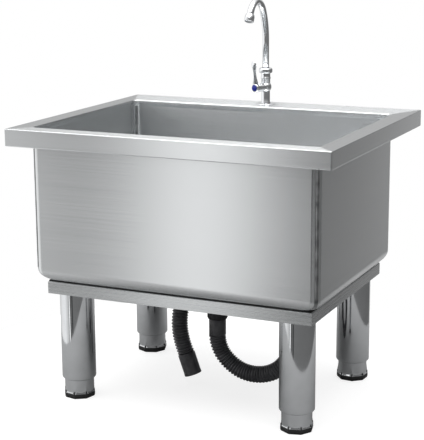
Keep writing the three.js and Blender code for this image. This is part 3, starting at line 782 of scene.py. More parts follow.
@dataclass
class DrainHose:
    """The ribbed waste hose with its smooth cuffs, coupling nut and clip."""

    radius: float = 21 * MM
    valley: float = 17.8 * MM
    bore: float = 18.2 * MM
    rib: float = 7.3 * MM
    rings_per_rib: int = 8
    sides: int = 28
    line_steps: int = 400
    path_steps: int = 160
    grip_ribs: int = 16

    def build(self) -> None:
        run = self.ribbed_run()
        upper = finished("hose_cuff_upper", self.upper_cuff(), HOSE)
        end = finished("hose_cuff_end", self.end_cuff(), HOSE)
        line = self.centreline(self.line_steps)
        path = [tuple(p) for p in self.centreline(self.path_steps)]
        finished("hose_coupling_nut", self.coupling_nut(), PLASTIC)
        finished("hose_clip", self.clip(), ZINC)

    def point(self, distance: float) -> Vector:
        """A point of the route, at a distance in spans from its start."""
        points = [Vector(p) * MM for p in HOSE_ROUTE]
        ahead = 2 * points[-1] - points[-2]
        points = [2 * points[0] - points[1], *points, ahead]
        span = min(int(distance), len(HOSE_ROUTE) - 2)
        share = distance - span
        before, start, end, after = points[span:span + 4]
        out, into = (end - before) / 2, (after - start) / 2
        square, cube = share * share, share ** 3
        return (start * (2 * cube - 3 * square + 1) + out * (cube - 2 * square + share)
                + end * (3 * square - 2 * cube) + into * (cube - square))

    def centreline(self, steps: int) -> list[Vector]:
        """Evenly spaced points along the route.

        Args:
            steps: Number of equal steps.

        Returns:
            The points, both ends included.
        """
        fine = [self.point((len(HOSE_ROUTE) - 1) * i / FINE_STEPS) for i in range(FINE_STEPS + 1)]
        even, walked, wanted = [fine[0]], 0.0, run_length(fine) / steps
        for a, b in zip(fine, fine[1:]):
            step = (b - a).length
            while walked + step >= wanted * len(even) and len(even) < steps:
                even.append(a.lerp(b, (wanted * len(even) - walked) / step))
            walked += step
        return even + [fine[-1]]

    def ribbed_run(self) -> bpy.types.Object:
        """The ribbed hose: one ring drawn out along the route, in and out at each rib."""
        ribs = round(run_length(self.centreline(self.line_steps)) / self.rib)
        rings = self.centreline(ribs * self.rings_per_rib)
        mesh = bmesh.new()
        circle = bmesh.ops.create_circle(mesh, segments=self.sides, radius=1.0)["verts"]
        base = [v.co.copy() for v in circle]
        edges = list(mesh.edges)
        tangent = (rings[1] - rings[0]).normalized()
        turn = UP.rotation_difference(tangent)
        self.place_ring(circle, base, turn, rings[0], self.rib_radius(0))
        for i in range(1, len(rings)):
            ahead = rings[min(i + 1, len(rings) - 1)] - rings[i - 1]
            new_tangent = ahead.normalized()
            turn = tangent.rotation_difference(new_tangent) @ turn
            tangent = new_tangent
            made = bmesh.ops.extrude_edge_only(mesh, edges=edges)["geom"]
            circle = [g for g in made if isinstance(g, BMVert)]
            edges = [g for g in made if isinstance(g, BMEdge)]
            self.place_ring(circle, base, turn, rings[i], self.rib_radius(i))
        bmesh.ops.holes_fill(mesh, edges=mesh.edges, sides=0)
        bmesh.ops.recalc_face_normals(mesh, faces=mesh.faces)
        return finished("hose_run", mesh, HOSE, sharp=80)

    def place_ring(
        self, ring: Sequence[BMVert], base: Sequence[Vector], turn: Quaternion, middle: Vector, radius: float
    ) -> None:
        """Puts a ring's vertices round a point of the route, in the order of the base circle."""
        for vert, unit in zip(ring, base):
            vert.co = middle + turn @ (unit * radius)

    def rib_radius(self, ring: int) -> float:
        """The hose's radius at a ring: broad crests and narrow valleys."""
        phase = (ring % self.rings_per_rib) / self.rings_per_rib
        dip = (0.5 + 0.5 * math.cos(WHOLE_TURN * phase)) ** 1.6
        return self.radius - (self.radius - self.valley) * dip

    def upper_cuff(self) -> BMesh:
        """The smooth cuff pushed up into the coupling nut."""
        low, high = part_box("hose_cuff_upper")
        ring = ring_of(self.bore, self.radius, low.z, high.z, 40, 0.8 * MM)
        return moved(ring, ((low.x + high.x) / 2, (low.y + high.y) / 2, 0))

    def end_cuff(self) -> BMesh:
        """The smooth cuff at the hose's open end, with a slight bead at its mouth."""
        start, end = Vector(HOSE_ROUTE[-1]) * MM, Vector(HOSE_END) * MM
        reach = (end - start).length
        outer = self.radius + 1 * MM
        profile = [
            (self.bore, 0.3 * MM), (self.radius - 0.5 * MM, 0.3 * MM), (outer - 0.3 * MM, 3 * MM),
            (outer - 0.4 * MM, reach - 5 * MM), (outer, reach - 3.5 * MM), (outer, reach),
            (self.bore, reach),
        ]
        ring = soften(lathe(profile, 40, closed=True), 0.5 * MM)
        aim = (end - start).to_track_quat("Z", "Y").to_matrix().to_4x4()
        return moved(ring, Matrix.Translation(start) @ aim)

    def coupling_nut(self) -> BMesh:
        """The hand nut over the cuff, with grip ribs all round."""
        low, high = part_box("hose_coupling_nut")
        radius, bore = 24 * MM, 18.8 * MM
        profile = [(bore, low.z), (radius - 1.5 * MM, low.z), (radius, low.z + 2 * MM),
                   (radius, high.z - 3 * MM), (radius - 2 * MM, high.z), (bore, high.z)]
        nut = soften(lathe(profile, 48, closed=True), 0.5 * MM)
        for i in range(self.grip_ribs):
            rib = box_mesh(Vector((radius - 2 * MM, -1.3 * MM, low.z + 3 * MM)),
                           Vector((radius + 1.1 * MM, 1.3 * MM, high.z - 4 * MM)))
            soften(rib, 0.5 * MM)
            merge(nut, moved(rib, Matrix.Rotation(WHOLE_TURN * i / self.grip_ribs, 4, "Z")))
        return moved(nut, ((low.x + high.x) / 2, (low.y + high.y) / 2, 0))

    def clip(self) -> BMesh:
        """A pipe clip: a round band on a foot screwed up under the brace."""
        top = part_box("hose_clip")[1].z
        held = Vector(HOSE_ROUTE[HOSE_CLIPPED]) * MM
        along = Vector(HOSE_ROUTE[HOSE_CLIPPED + 1]) - Vector(HOSE_ROUTE[HOSE_CLIPPED - 1])
        half, thick, reach = 7 * MM, 1.5 * MM, 22 * MM
        ring = ring_of(self.radius + 1 * MM, self.radius + 3 * MM, -half, half, 40, 0.4 * MM)
        aim = along.normalized().to_track_quat("Z", "Y").to_matrix().to_4x4()
        moved(ring, Matrix.Translation(held) @ aim)
        stalk = box_mesh(held + Vector((-half, -thick, self.radius + 2 * MM)),
                         Vector((held.x + half, held.y + thick, top)))
        foot = box_mesh(Vector((held.x - half, held.y - thick, top - 2 * MM)),
                        Vector((held.x + half, held.y + reach, top)))
        head = lathe(lengths([(0, -3.6), (2.6, -3.4), (3.6, -2.6), (3.8, -1.8), (0, -1.8)]), 16)
        screw = moved(head, (held.x, held.y + 12 * MM, top))
        return merge(ring, soften(stalk, 0.4 * MM), soften(foot, 0.4 * MM), screw)


# ---------------------------------------------------------------- tub


@dataclass
class Bowl:
    """The bowl: walls and floor of one sheet thickness, with ground corner welds."""

    sheet: float = 2 * MM
    corner: float = 18 * MM
    edge: float = 30 * MM
    drain_radius: float = 46 * MM
    # The floor is the one level face larger than this, in square metres.
    floor_area: float = 0.05
    # How far below the top the weld beads end, hidden by the rim's lip.
    under_lip: float = 17 * MM

    def build(self) -> None:
        """Builds the bowl's shell and the weld beads in its inner corners."""
        finished("tub_basin", self.shell(), WALL, DECK_X, WELD, wall=self.sheet, shading=Shading.PANEL)
        finished("tub_basin", self.inner_welds(), WELD, part="tub_basin_inner_welds")

    def shell(self) -> BMesh:
        """The outer skin of the bowl: a box without its top, rounded below and at the corners."""
        low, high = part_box("tub_basin")
        mesh = box_mesh(low, high)
        top = max(mesh.faces, key=lambda f: f.calc_center_median().z)
        bmesh.ops.delete(mesh, geom=[top], context="FACES_ONLY")
        at_floor = [e for e in mesh.edges if all(abs(v.co.z - low.z) < NEAR for v in e.verts)]
        bend(mesh, at_floor, self.edge, 8)
        bend(mesh, self.corner_lines(mesh, low, high), self.corner, 6)
        floor = [f for f in mesh.faces if f.normal.z < -0.999 and f.calc_area() > self.floor_area]
        rim_of_floor = [e for f in floor for e in f.edges]
        bmesh.ops.delete(mesh, geom=floor, context="FACES_ONLY")
        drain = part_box("drain_cup")
        middle = (drain[0] + drain[1]) / 2
        hole = bmesh.ops.create_circle(mesh, segments=len(rim_of_floor), radius=self.drain_radius)["verts"]
        bmesh.ops.translate(mesh, vec=(middle.x, middle.y, low.z), verts=hole)
        ring = list({e for v in hole for e in v.link_edges})
        bmesh.ops.bridge_loops(mesh, edges=rim_of_floor + ring)
        face_out(mesh, Vector((0, low.y - 0.1, (low.z + high.z) / 2)))
        for face in mesh.faces:
            if abs(face.normal.z) > 0.9:
                face.material_index = 1
            elif self.on_weld(face, low, high):
                face.material_index = 2
        return mesh

    def corner_lines(self, mesh: BMesh, low: Vector, high: Vector) -> list[BMEdge]:
        """The edges that run down the four corners, round the bend and onto the floor."""
        def even(v: BMVert) -> bool:
            """Whether a point is as far in from the side as from the end."""
            side = min(v.co.x - low.x, high.x - v.co.x)
            end = min(v.co.y - low.y, high.y - v.co.y)
            return abs(side - end) < NEAR

        def rises(e: BMEdge) -> bool:
            """Whether an edge isn't level."""
            return abs(e.verts[0].co.z - e.verts[1].co.z) > NEAR

        return [e for e in mesh.edges if rises(e) and all(even(v) for v in e.verts)]

    def on_weld(self, face: BMFace, low: Vector, high: Vector) -> bool:
        """Whether a face lies on the ground weld down the middle of a corner."""
        place = face.calc_center_median()
        side = min(place.x - low.x, high.x - place.x)
        end = min(place.y - low.y, high.y - place.y)
        return side < self.corner and end < self.corner and abs(side - end) < 0.45 * self.corner

    def inner_welds(self) -> BMesh:
        """A bead of overlapping weld ripples down each inner corner."""
        low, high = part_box("tub_basin")
        mesh = bmesh.new()
        inset = self.sheet + self.corner * (1 - math.sqrt(0.5)) - 1.2 * MM
        pitch, radius, depth = 5 * MM, 2.9 * MM, 0.7 * MM
        foot, top = low.z + self.edge + 4 * MM, high.z - self.under_lip
        profile = [(0, foot)]
        for i in range(int((top - foot) / pitch)):
            profile += [(radius - depth, foot + i * pitch), (radius, foot + (i + 0.35) * pitch),
                        (radius, foot + (i + 0.65) * pitch)]
        profile.append((0, profile[-1][1] + pitch / 2))
        for x, y in ((low.x + inset, low.y + inset), (high.x - inset, low.y + inset),
                     (low.x + inset, high.y - inset), (high.x - inset, high.y - inset)):
            merge(mesh, moved(lathe(profile, 10), (x, y, 0)))
        return mesh


@dataclass
class Rim:
    """The folded rim: deck, apron, hem and the short lip into the bowl."""

    sheet: float = 2 * MM
    hem: float = 12 * MM
    lip: float = 15 * MM
    fold: float = 2.6 * MM
    lip_fold: float = 4 * MM
    corner: float = 16 * MM
    low: Vector = field(default_factory=lambda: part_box("tub_rim")[0])
    high: Vector = field(default_factory=lambda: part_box("tub_rim")[1])
    opening_low: Vector = field(default_factory=lambda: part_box("tub_basin")[0])
    opening_high: Vector = field(default_factory=lambda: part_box("tub_basin")[1])

    def __post_init__(self) -> None:
        """Takes the sheet's thickness off the bowl's outside to find the opening."""
        inset = Vector((self.sheet, self.sheet, 0))
        self.opening_low += inset
        self.opening_high -= inset

    def build(self) -> None:
        """Builds the rim's sheet."""
        finished("tub_rim", self.skin(), DECK_X, DECK_Y, wall=self.sheet, shading=Shading.PANEL)

    def skin(self) -> BMesh:
        """The outside of the sheet: lip, deck, apron and hem in one, with a mitre line at each corner."""
        mesh = box_mesh(self.low, self.high)
        bottom = min(mesh.faces, key=lambda f: f.calc_center_median().z)
        bmesh.ops.inset_individual(mesh, faces=[bottom], thickness=self.hem, use_even_offset=True)
        top = max(mesh.faces, key=lambda f: f.calc_center_median().z)
        bmesh.ops.inset_individual(mesh, faces=[top], thickness=self.hem, use_even_offset=True)
        middle = (self.opening_low + self.opening_high) / 2
        for vert in top.verts:
            vert.co.x = self.opening_low.x if vert.co.x < middle.x else self.opening_high.x
            vert.co.y = self.opening_low.y if vert.co.y < middle.y else self.opening_high.y
        opening = list(top.edges)
        bmesh.ops.delete(mesh, geom=[bottom, top], context="FACES_ONLY")
        lip = bmesh.ops.extrude_edge_only(mesh, edges=opening)["geom"]
        bmesh.ops.translate(mesh, vec=(0, 0, -self.lip), verts=[g for g in lip if isinstance(g, BMVert)])
        face_out(mesh, Vector((0, self.low.y - 0.1, (self.low.z + self.high.z) / 2)))
        self.fold_edges(mesh)
        for face in mesh.faces:
            if self.on_side(face.calc_center_median()):
                face.material_index = 1
        return mesh

    def fold_edges(self, mesh: BMesh) -> None:
        """Rounds the opening's corners, the bend into the lip and the outer folds."""
        upright = [e for e in mesh.edges
                   if self.at_opening(e) and abs(e.verts[0].co.z - e.verts[1].co.z) > MM]
        bmesh.ops.bevel(
            mesh, geom=upright, offset=self.corner, offset_type="OFFSET", segments=6, profile=0.5,
            affect="EDGES", material=-1)
        soften(mesh, self.lip_fold, angle=60, segments=4, pick=self.on_lip_bend)
        soften(mesh, self.fold, angle=60, segments=4, pick=lambda e: all(self.outside(v) for v in e.verts))

    def outside(self, vert: BMVert) -> bool:
        """Whether a point lies on one of the rim's four outer faces."""
        place = vert.co
        return min(place.x - self.low.x, self.high.x - place.x,
                   place.y - self.low.y, self.high.y - place.y) < NEAR

    def at_opening(self, edge: BMEdge) -> bool:
        """Whether an edge lies at the opening: the deck's inner edge or the lip."""
        return not any(self.outside(v) for v in edge.verts) and all(
            v.co.z > self.high.z - 2 * self.lip for v in edge.verts)

    def on_lip_bend(self, edge: BMEdge) -> bool:
        """Whether an edge is part of the bend from the deck into the lip."""
        return self.at_opening(edge) and all(abs(v.co.z - self.high.z) < NEAR for v in edge.verts)

    def on_side(self, place: Vector) -> bool:
        """Whether a place lies on the left or right strip, by the mitre lines of the deck."""
        side = min((place.x - self.low.x) / (self.opening_low.x - self.low.x),
                   (self.high.x - place.x) / (self.high.x - self.opening_high.x))
        end = min((place.y - self.low.y) / (self.opening_low.y - self.low.y),
                  (self.high.y - place.y) / (self.high.y - self.opening_high.y))
        return side < end


# ---------------------------------------------------------------- base frame


@dataclass
class BaseFrame:
    """Four mitred angle bars, two flat braces and the black rubber strip that the bowl rests on, put there as
    painted shade for the dark shadow gap between bowl and frame.
    """

    sheet: float = 3 * MM
    flange: float = 30 * MM
    bend: float = 3.5 * MM
    # Cut back from the front and rear bars, so that the mitres show as fine lines.
    slit: float = 0.3 * MM

    def build(self) -> None:
        """Builds the rails and the braces and coats the strip black, as painted shade for the shadow gap
        under the bowl.
        """
        low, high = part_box("frame_front_rail")
        left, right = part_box("frame_left_rail")[0].x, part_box("frame_right_rail")[1].x
        front, back = low.y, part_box("frame_rear_rail")[1].y
        plan = ((left, front), (right, front), (right, back), (left, back))
        corners = [Vector((x, y, low.z)) for x, y in plan]
        ends = zip(("front", "right", "rear", "left"), corners, corners[1:] + corners[:1])
        for side, start, end in ends:
            slit = self.slit if side in ("front", "rear") else 0.0
            bar = self.rail(start, end, high.z - low.z, slit)
            finished(f"frame_{side}_rail", bar, RAIL, shading=Shading.PANEL)
        for side in ("left", "right"):
            node = f"frame_brace_{side}"
            finished(node, soften(box_mesh(*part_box(node)), 0.8 * MM), MILL, shading=Shading.PANEL)
        # Painted shade: the black strip stands in for the dark shadow gap between the bowl's floor and the
        # frame.
        coat("bearing_strip", RUBBER)

    def rail(self, start: Vector, end: Vector, height: float, slit: float) -> BMesh:
        """One angle bar, its outer face on the right of the way from start to end.

        Args:
            start: Outer bottom corner where the bar begins.
            end: Outer bottom corner where it ends.
            height: Height of the upright leg of the angle.
            slit: How far each mitre is cut back.

        Returns:
            The closed bar, mitred at both ends.
        """
        sheet, flange = self.sheet, self.flange
        section = [(0, 0), (0, height), (flange, height), (flange, height - sheet),
                   (sheet, height - sheet), (sheet, 0)]
        mesh = bmesh.new()
        length = (end - start).length
        face = mesh.faces.new([mesh.verts.new((0, y, z)) for y, z in section])
        made = bmesh.ops.extrude_face_region(mesh, geom=[face])["geom"]
        bmesh.ops.translate(mesh, vec=(length, 0, 0), verts=[g for g in made if isinstance(g, BMVert)])
        bmesh.ops.recalc_face_normals(mesh, faces=mesh.faces)

        def on_bend(edge: BMEdge) -> bool:
            """Whether an edge is the bar's outer corner, where the sheet is bent."""
            return all(v.co.y < NEAR and v.co.z > height - NEAR for v in edge.verts)

        soften(mesh, self.bend, angle=60, segments=4, pick=on_bend)
        soften(mesh, 0.6 * MM, angle=60, pick=lambda e: abs(e.verts[0].co.x - e.verts[1].co.x) > length / 2)
        for corner, away in ((slit, Vector((-1, 1, 0))), (length - slit, Vector((1, 1, 0)))):
            everything = list(mesh.verts) + list(mesh.edges) + list(mesh.faces)
            bmesh.ops.bisect_plane(
                mesh, geom=everything, dist=NEAR, plane_co=(corner, 0, 0), plane_no=away, clear_outer=True)
            bmesh.ops.holes_fill(mesh, edges=[e for e in mesh.edges if e.is_boundary], sides=0)
        bmesh.ops.recalc_face_normals(mesh, faces=mesh.faces)
        along = (end - start).normalized()
        turn = Matrix((along, UP.cross(along), UP)).transposed().to_4x4()
        return moved(mesh, Matrix.Translation(start) @ turn)


# ---------------------------------------------------------------- legs and feet


@dataclass
class Leg:
    """One leg: its corner plate, tube, threaded insert and the screw foot below."""

    name: str
    facet_turn: float
    tube_radius: float = 41.3 * MM
    lip_radius: float = 36.5 * MM
    sleeve_radius: float = 35.5 * MM
    stem_radius: float = 8 * MM
    play: float = 0.6 * MM
    corner_radius: float = 36 * MM
    flare: float = 2.7 * MM
    flare_height: float = 19 * MM
    slot_width: float = 2.6 * MM
    slot_height: float = 6 * MM
    axis: Vector = field(default_factory=Vector)
    corner_turn: float = 0.0

    def __post_init__(self) -> None:
        """Finds the leg's axis from the frame, and the turn of the foot's corners."""
        low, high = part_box(f"leg_tube_{self.name}")
        self.axis = Vector(((low.x + high.x) / 2, (low.y + high.y) / 2, 0))
        self.corner_turn = math.radians(self.facet_turn) + EIGHTH / 2

    def build(self) -> None:
        """Builds every piece of the leg."""
        pieces = {
            "leg_plate": (self.plate(), MILL, Shading.PANEL),
            "leg_tube": (self.tube(), TUBE, Shading.ROUND),
            "leg_insert": (self.insert(), ZINC, Shading.ROUND),
            "foot_stem": (self.stem(), ZINC, Shading.ROUND),
            "foot_plug": (self.plug(), PLASTIC, Shading.ROUND),
            "foot_pad": (self.pad(), RUBBER, Shading.ROUND),
        }
        for kind, (mesh, finish, shading) in pieces.items():
            finished(f"{kind}_{self.name}", moved(mesh, self.axis), finish, shading=shading)
        finished(f"foot_sleeve_{self.name}", moved(self.sleeve(), self.axis), TUBE, wall=1.4 * MM)

    def plate(self) -> BMesh:
        """The corner plate under the frame, its socket and four screw heads, about the leg's axis."""
        low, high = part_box(f"leg_plate_{self.name}")
        under = high.z - 4 * MM
        plate = soften(box_mesh(Vector((low.x, low.y, under)) - self.axis, high - self.axis), 0.8 * MM)
        outer = self.tube_radius - 2.4 * MM
        socket = lathe([(outer - 4 * MM, low.z), (outer - 0.6 * MM, low.z), (outer, low.z + 1.5 * MM),
                        (outer, under + MM), (outer - 4 * MM, under + MM)], 48, closed=True)
        merge(plate, socket)
        inset, head = 9 * MM, lengths([(0, -3.2), (2.4, -3.0), (4.2, -1.6), (4.4, 0.2), (0, 0.2)])
        for x in (low.x + inset, high.x - inset):
            for y in (low.y + inset, high.y - inset):
                merge(plate, moved(lathe(head, 20), Vector((x, y, under)) - self.axis))
        return plate

    def tube(self) -> BMesh:
        """The leg's tube, its lower edge rolled in to a smaller mouth."""
        low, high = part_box(f"leg_tube_{self.name}")
        wall, roll = 2 * MM, self.tube_radius - self.lip_radius
        outside = arc((self.tube_radius - 6 * MM, low.z + 6 * MM), 6 * MM, -78, 0, 6)
        inside = arc((self.tube_radius - 6 * MM, low.z + 6 * MM), 4 * MM, 0, -70, 5)
        profile = [(self.lip_radius, low.z + 0.5 * MM), *outside, (self.tube_radius, high.z),
                   (self.tube_radius - wall, high.z), *inside, (self.lip_radius, low.z + roll * 0.5)]
        return lathe(profile, 72, closed=True)

    def insert(self) -> BMesh:
        """The pressed disc in the tube with the threaded boss for the stem."""
        low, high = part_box(f"leg_insert_{self.name}")
        rim, bore, boss = self.tube_radius - 2.4 * MM, self.stem_radius + self.play, 16 * MM
        disc = high.z - 12 * MM
        profile = [(bore, low.z), (boss, low.z), (boss, disc), (rim, disc), (rim, high.z), (bore, high.z)]
        return soften(lathe(profile, 40, closed=True), 0.8 * MM)

    def stem(self) -> BMesh:
        """The foot's threaded stem, with a ridge for every turn of thread."""
        low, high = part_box(f"foot_stem_{self.name}")
        pitch, depth = 2.5 * MM, 0.8 * MM
        count = int((high.z - low.z - 70 * MM) / pitch)
        profile = [(0, low.z), (self.stem_radius, low.z), (self.stem_radius, low.z + 62 * MM)]
        for i in range(count):
            foot = low.z + 64 * MM + i * pitch
            profile += [(self.stem_radius - depth, foot), (self.stem_radius, foot + pitch / 2)]
        profile += [(self.stem_radius - 2 * MM, high.z), (0, high.z)]
        return lathe(profile, 28)

    def facet_radius(self, angle: float, corner_radius: float) -> float:
        """Distance from the axis to an octagon's side at an angle from its facet's middle."""
        off = (angle + EIGHTH / 2) % EIGHTH - EIGHTH / 2
        return corner_radius * math.cos(EIGHTH / 2) / math.cos(off)

    def sleeve(self) -> BMesh:
        """The bright sleeve: round above, easing to eight flats with a slot at each corner below."""
        low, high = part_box(f"foot_sleeve_{self.name}")
        # Angles from a corner: the slot's edge, then two points that ease into the flat.
        slot_half = self.slot_width / 2 / (self.corner_radius + 2.5 * MM)
        half = [slot_half, 0.17, 0.28]
        part = [0.0, *half, EIGHTH / 2, *(EIGHTH - a for a in reversed(half))]
        angles = [k * EIGHTH + a for k in range(8) for a in part]
        heights = [low.z + h * MM for h in (0, 0.9, 2, 6.2, 9, 13, 18, 24, 40)] + [high.z]
        mesh = bmesh.new()
        verts = [mesh.verts.new((self.sleeve_radius, 0, z)) for z in heights]
        edges = [mesh.edges.new(pair) for pair in zip(verts, verts[1:])]
        for start, end in zip(angles, angles[1:] + [WHOLE_TURN]):
            made = bmesh.ops.extrude_edge_only(mesh, edges=edges)["geom"]
            edges = [g for g in made if isinstance(g, BMEdge)]
            bmesh.ops.rotate(mesh, cent=(0, 0, 0), matrix=Matrix.Rotation(end - start, 3, "Z"),
                             verts=[g for g in made if isinstance(g, BMVert)])
        bmesh.ops.remove_doubles(mesh, verts=mesh.verts, dist=NEAR)
        slots = [f for f in mesh.faces if self.in_slot(f, low.z, slot_half)]
        bmesh.ops.delete(mesh, geom=slots, context="FACES")
        for vert in mesh.verts:
            self.shape_sleeve(vert, low.z)
        top = [e for e in mesh.edges if all(abs(v.co.z - high.z) < NEAR for v in e.verts)]
        made = bmesh.ops.extrude_edge_only(mesh, edges=top)["geom"]
        inner = [g for g in made if isinstance(g, BMVert)]
        share = (self.stem_radius + self.play) / self.sleeve_radius
        bmesh.ops.scale(mesh, vec=(share, share, 1), verts=inner)

        def on_shoulder(edge: BMEdge) -> bool:
            """Whether an edge lies round the sleeve's top."""
            at_top = all(abs(v.co.z - high.z) < NEAR for v in edge.verts)
            return at_top and edge.verts[0].co.xy.length > 0.9 * self.sleeve_radius

        soften(mesh, 3 * MM, angle=60, segments=3, pick=on_shoulder)
        face_out(mesh, Vector((1, 0, (low.z + high.z) / 2)))
        return moved(mesh, Matrix.Rotation(self.corner_turn - math.pi / 2, 4, "Z"))

    def in_slot(self, face: BMFace, foot: float, half: float) -> bool:
        """Whether a face of the round sleeve lies in one of the eight corner slots."""
        place = face.calc_center_median()
        angle = math.atan2(place.y, place.x) % WHOLE_TURN
        off = (angle + EIGHTH / 2) % EIGHTH - EIGHTH / 2
        return abs(off) < half and place.z < foot + self.slot_height

    def shape_sleeve(self, vert: BMVert, foot: float) -> None:
        """Moves a point of the round sleeve out to its flats, which flare to a lip at the foot."""
        height = vert.co.z - foot
        easing = max(0.0, 1 - height / self.flare_height)
        angle = math.atan2(vert.co.y, vert.co.x)
        flat = self.facet_radius(angle - EIGHTH / 2, self.corner_radius + self.flare * easing)
        radius = max(self.sleeve_radius, flat) if easing > 0 else self.sleeve_radius
        lip = 0.5 * MM if height < MM else 0.0
        vert.co.xy = Vector((math.cos(angle), math.sin(angle))) * (radius + lip)

    def plug(self) -> BMesh:
        """The moulded plug: an octagonal base, eight corner ribs and a round core."""
        low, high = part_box(f"foot_plug_{self.name}")
        base_top, core_radius, bore = 12 * MM, 33 * MM, self.stem_radius + self.play
        base = soften(prism(8, 39.3 * MM, low.z, base_top, self.corner_turn), 1.2 * MM, segments=3)
        seam = base_top - MM
        core = lathe([(bore, seam), (core_radius, seam), (core_radius, high.z - 2 * MM),
                      (core_radius - 2 * MM, high.z), (bore, high.z)], 40, closed=True)
        merge(base, core)
        for i in range(8):
            rib = box_mesh(
                Vector((core_radius - MM, -1.1 * MM, seam)), Vector((38.6 * MM, 1.1 * MM, 18 * MM)))
            angle = self.corner_turn - math.pi / 2 + i * EIGHTH
            merge(base, moved(soften(rib, 0.4 * MM), Matrix.Rotation(angle, 4, "Z")))
        return base

    def pad(self) -> BMesh:
        """The octagonal rubber pad on the floor with its centre spigot."""
        pad = soften(prism(8, 37.5 * MM, 0, 3 * MM, self.corner_turn, 38.8 * MM), 0.8 * MM, segments=3)
        return merge(pad, prism(24, 6 * MM, 1 * MM, 10 * MM))


# ---------------------------------------------------------------- drain


@dataclass
class Drain:
    """The drain cup in the floor, its nut, tail and lift-out strainer."""

    middle: Vector = field(default_factory=lambda: sum(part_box("drain_cup"), Vector()) / 2)
    body_radius: float = 43 * MM
    lip_radius: float = 57 * MM
    nut_radius: float = 53 * MM
    tail_radius: float = 18 * MM
    basket_radius: float = 38 * MM
    columns: int = 56

    def build(self) -> None:
        """Builds the drain's pieces about its axis."""
        self.middle.z = 0
        rounds = {
            "drain_cup": (self.cup(), WALL),
            "drain_gasket": (self.gasket(), RUBBER),
            "drain_locknut": (self.locknut(), ZINC),
            "drain_tailpiece": (self.tailpiece(), PLASTIC),
            "strainer_knob": (self.knob(), CHROME),
        }
        for node, (mesh, finish) in rounds.items():
            finished(node, moved(mesh, self.middle), finish)
        finished("strainer_basket", moved(self.basket(), self.middle), WALL, wall=1 * MM)

    def cup(self) -> BMesh:
        """The dished cup with its broad lip on the tub's floor and the outlet below."""
        low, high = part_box("drain_cup")
        floor = high.z - 2 * MM
        outlet, inner = 16 * MM, self.body_radius - 2.5 * MM
        profile = [
            (outlet, low.z), (self.body_radius, low.z), (self.body_radius, floor + 0.3 * MM),
            (self.lip_radius, floor + 0.3 * MM), (self.lip_radius - MM, high.z),
            (self.body_radius + 2 * MM, high.z - 0.4 * MM), (inner, floor - 3 * MM),
            (inner, low.z + 9 * MM), (inner - 6 * MM, low.z + 3 * MM), (outlet, low.z + 3 * MM),
        ]
        return soften(lathe(profile, 72, closed=True), 0.8 * MM)

    def gasket(self) -> BMesh:
        """The rubber ring under the tub's floor."""
        low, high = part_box("drain_gasket")
        return ring_of(self.body_radius + 0.5 * MM, self.lip_radius, low.z, high.z, 64, 0.6 * MM)

    def locknut(self) -> BMesh:
        """The ring nut under the floor with its eight driving lugs."""
        low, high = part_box("drain_locknut")
        root, lug, half = self.nut_radius, self.lip_radius, 14 * MM
        nut = ring_of(self.body_radius + 0.5 * MM, root, low.z, high.z, 64, 0.8 * MM)
        for i in range(8):
            block = box_mesh(Vector((root - 2 * MM, -half, low.z)), Vector((lug, half, high.z)))
            soften(block, 1.5 * MM, segments=3)
            merge(nut, moved(block, Matrix.Rotation((i + 0.5) * EIGHTH, 4, "Z")))
        return nut

    def tailpiece(self) -> BMesh:
        """The flanged tail that the hose cuff fits on."""
        low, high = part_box("drain_tailpiece")
        radius, bore, flange = self.tail_radius, self.tail_radius - 2 * MM, self.tail_radius + 5 * MM
        profile = [(bore, low.z), (radius, low.z), (radius, high.z - 6 * MM), (flange, high.z - 5 * MM),
                   (flange, high.z), (bore, high.z)]
        return soften(lathe(profile, 40, closed=True), 0.7 * MM)

    def basket(self) -> BMesh:
        """The strainer cup: a rolled lip and rows of perforations, punched out of the sheet."""
        low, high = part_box("strainer_basket")
        radius = self.basket_radius
        rows = [(r * MM, low.z) for r in (0, 5, 8, 11, 14, 17, 20, 23, 26, 29)]
        rows += [(radius - 4 * MM, low.z + 1.5 * MM), (radius - 0.8 * MM, low.z + 6 * MM)]
        rows += [(radius, low.z + h * MM) for h in (10, 14, 18, 22, 26, 30)]
        rows += [(radius, high.z - 1.6 * MM), (radius + 1.4 * MM, high.z - 0.8 * MM),
                 (radius + 1.5 * MM, high.z)]
        mesh = lathe(rows, self.columns)
        punched = [f for f in mesh.faces if self.is_hole(f.calc_center_median(), low.z)]
        bmesh.ops.delete(mesh, geom=punched, context="FACES")
        return face_out(mesh, Vector((1, 0, low.z + 12 * MM)))

    def is_hole(self, place: Vector, foot: float) -> bool:
        """Whether a place on the basket lies in a perforation: every second field of every second row."""
        column = int((math.atan2(place.y, place.x) % WHOLE_TURN) / WHOLE_TURN * self.columns)
        reach, height = place.xy.length, place.z - foot
        on_floor = height < MM and int(reach / (3 * MM)) % 2 == 0 and 7 * MM < reach < 28 * MM
        on_wall = 10 * MM < height < 30 * MM and int(height / (4 * MM) + 0.5) % 2 == 0
        return column % 2 == 0 and (on_floor or on_wall)

    def knob(self) -> BMesh:
        """The waisted pull knob on the strainer."""
        low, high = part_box("strainer_knob")
        profile = [(0, 0), (6, 0), (6, 1), (3.5, 3.5), (3.5, 13), (5, 15.5), (8.4, 17.4), (9, 19),
                   (8.6, 21.5), (6, 23.4), (0, (high.z - low.z) / MM)]
        return moved(lathe(lengths(profile), 40), (0, 0, low.z))


# ---------------------------------------------------------------- tap


# The lever's blade: distance along it, half width and half thickness, in millimetres.
BLADE_SECTIONS = (
    (0, 10.6, 3.4), (8, 10.4, 3.4), (14, 9.2, 3.3), (20, 7.2, 3.1), (27, 5.4, 2.9), (34, 4.4, 2.7),
    (41, 4.4, 2.6), (48, 5.8, 2.7), (54, 7.5, 2.9), (60, 8.2, 3.0), (64.5, 7.4, 2.7), (67.4, 5.2, 2.1),
    (69, 2.4, 1.1))


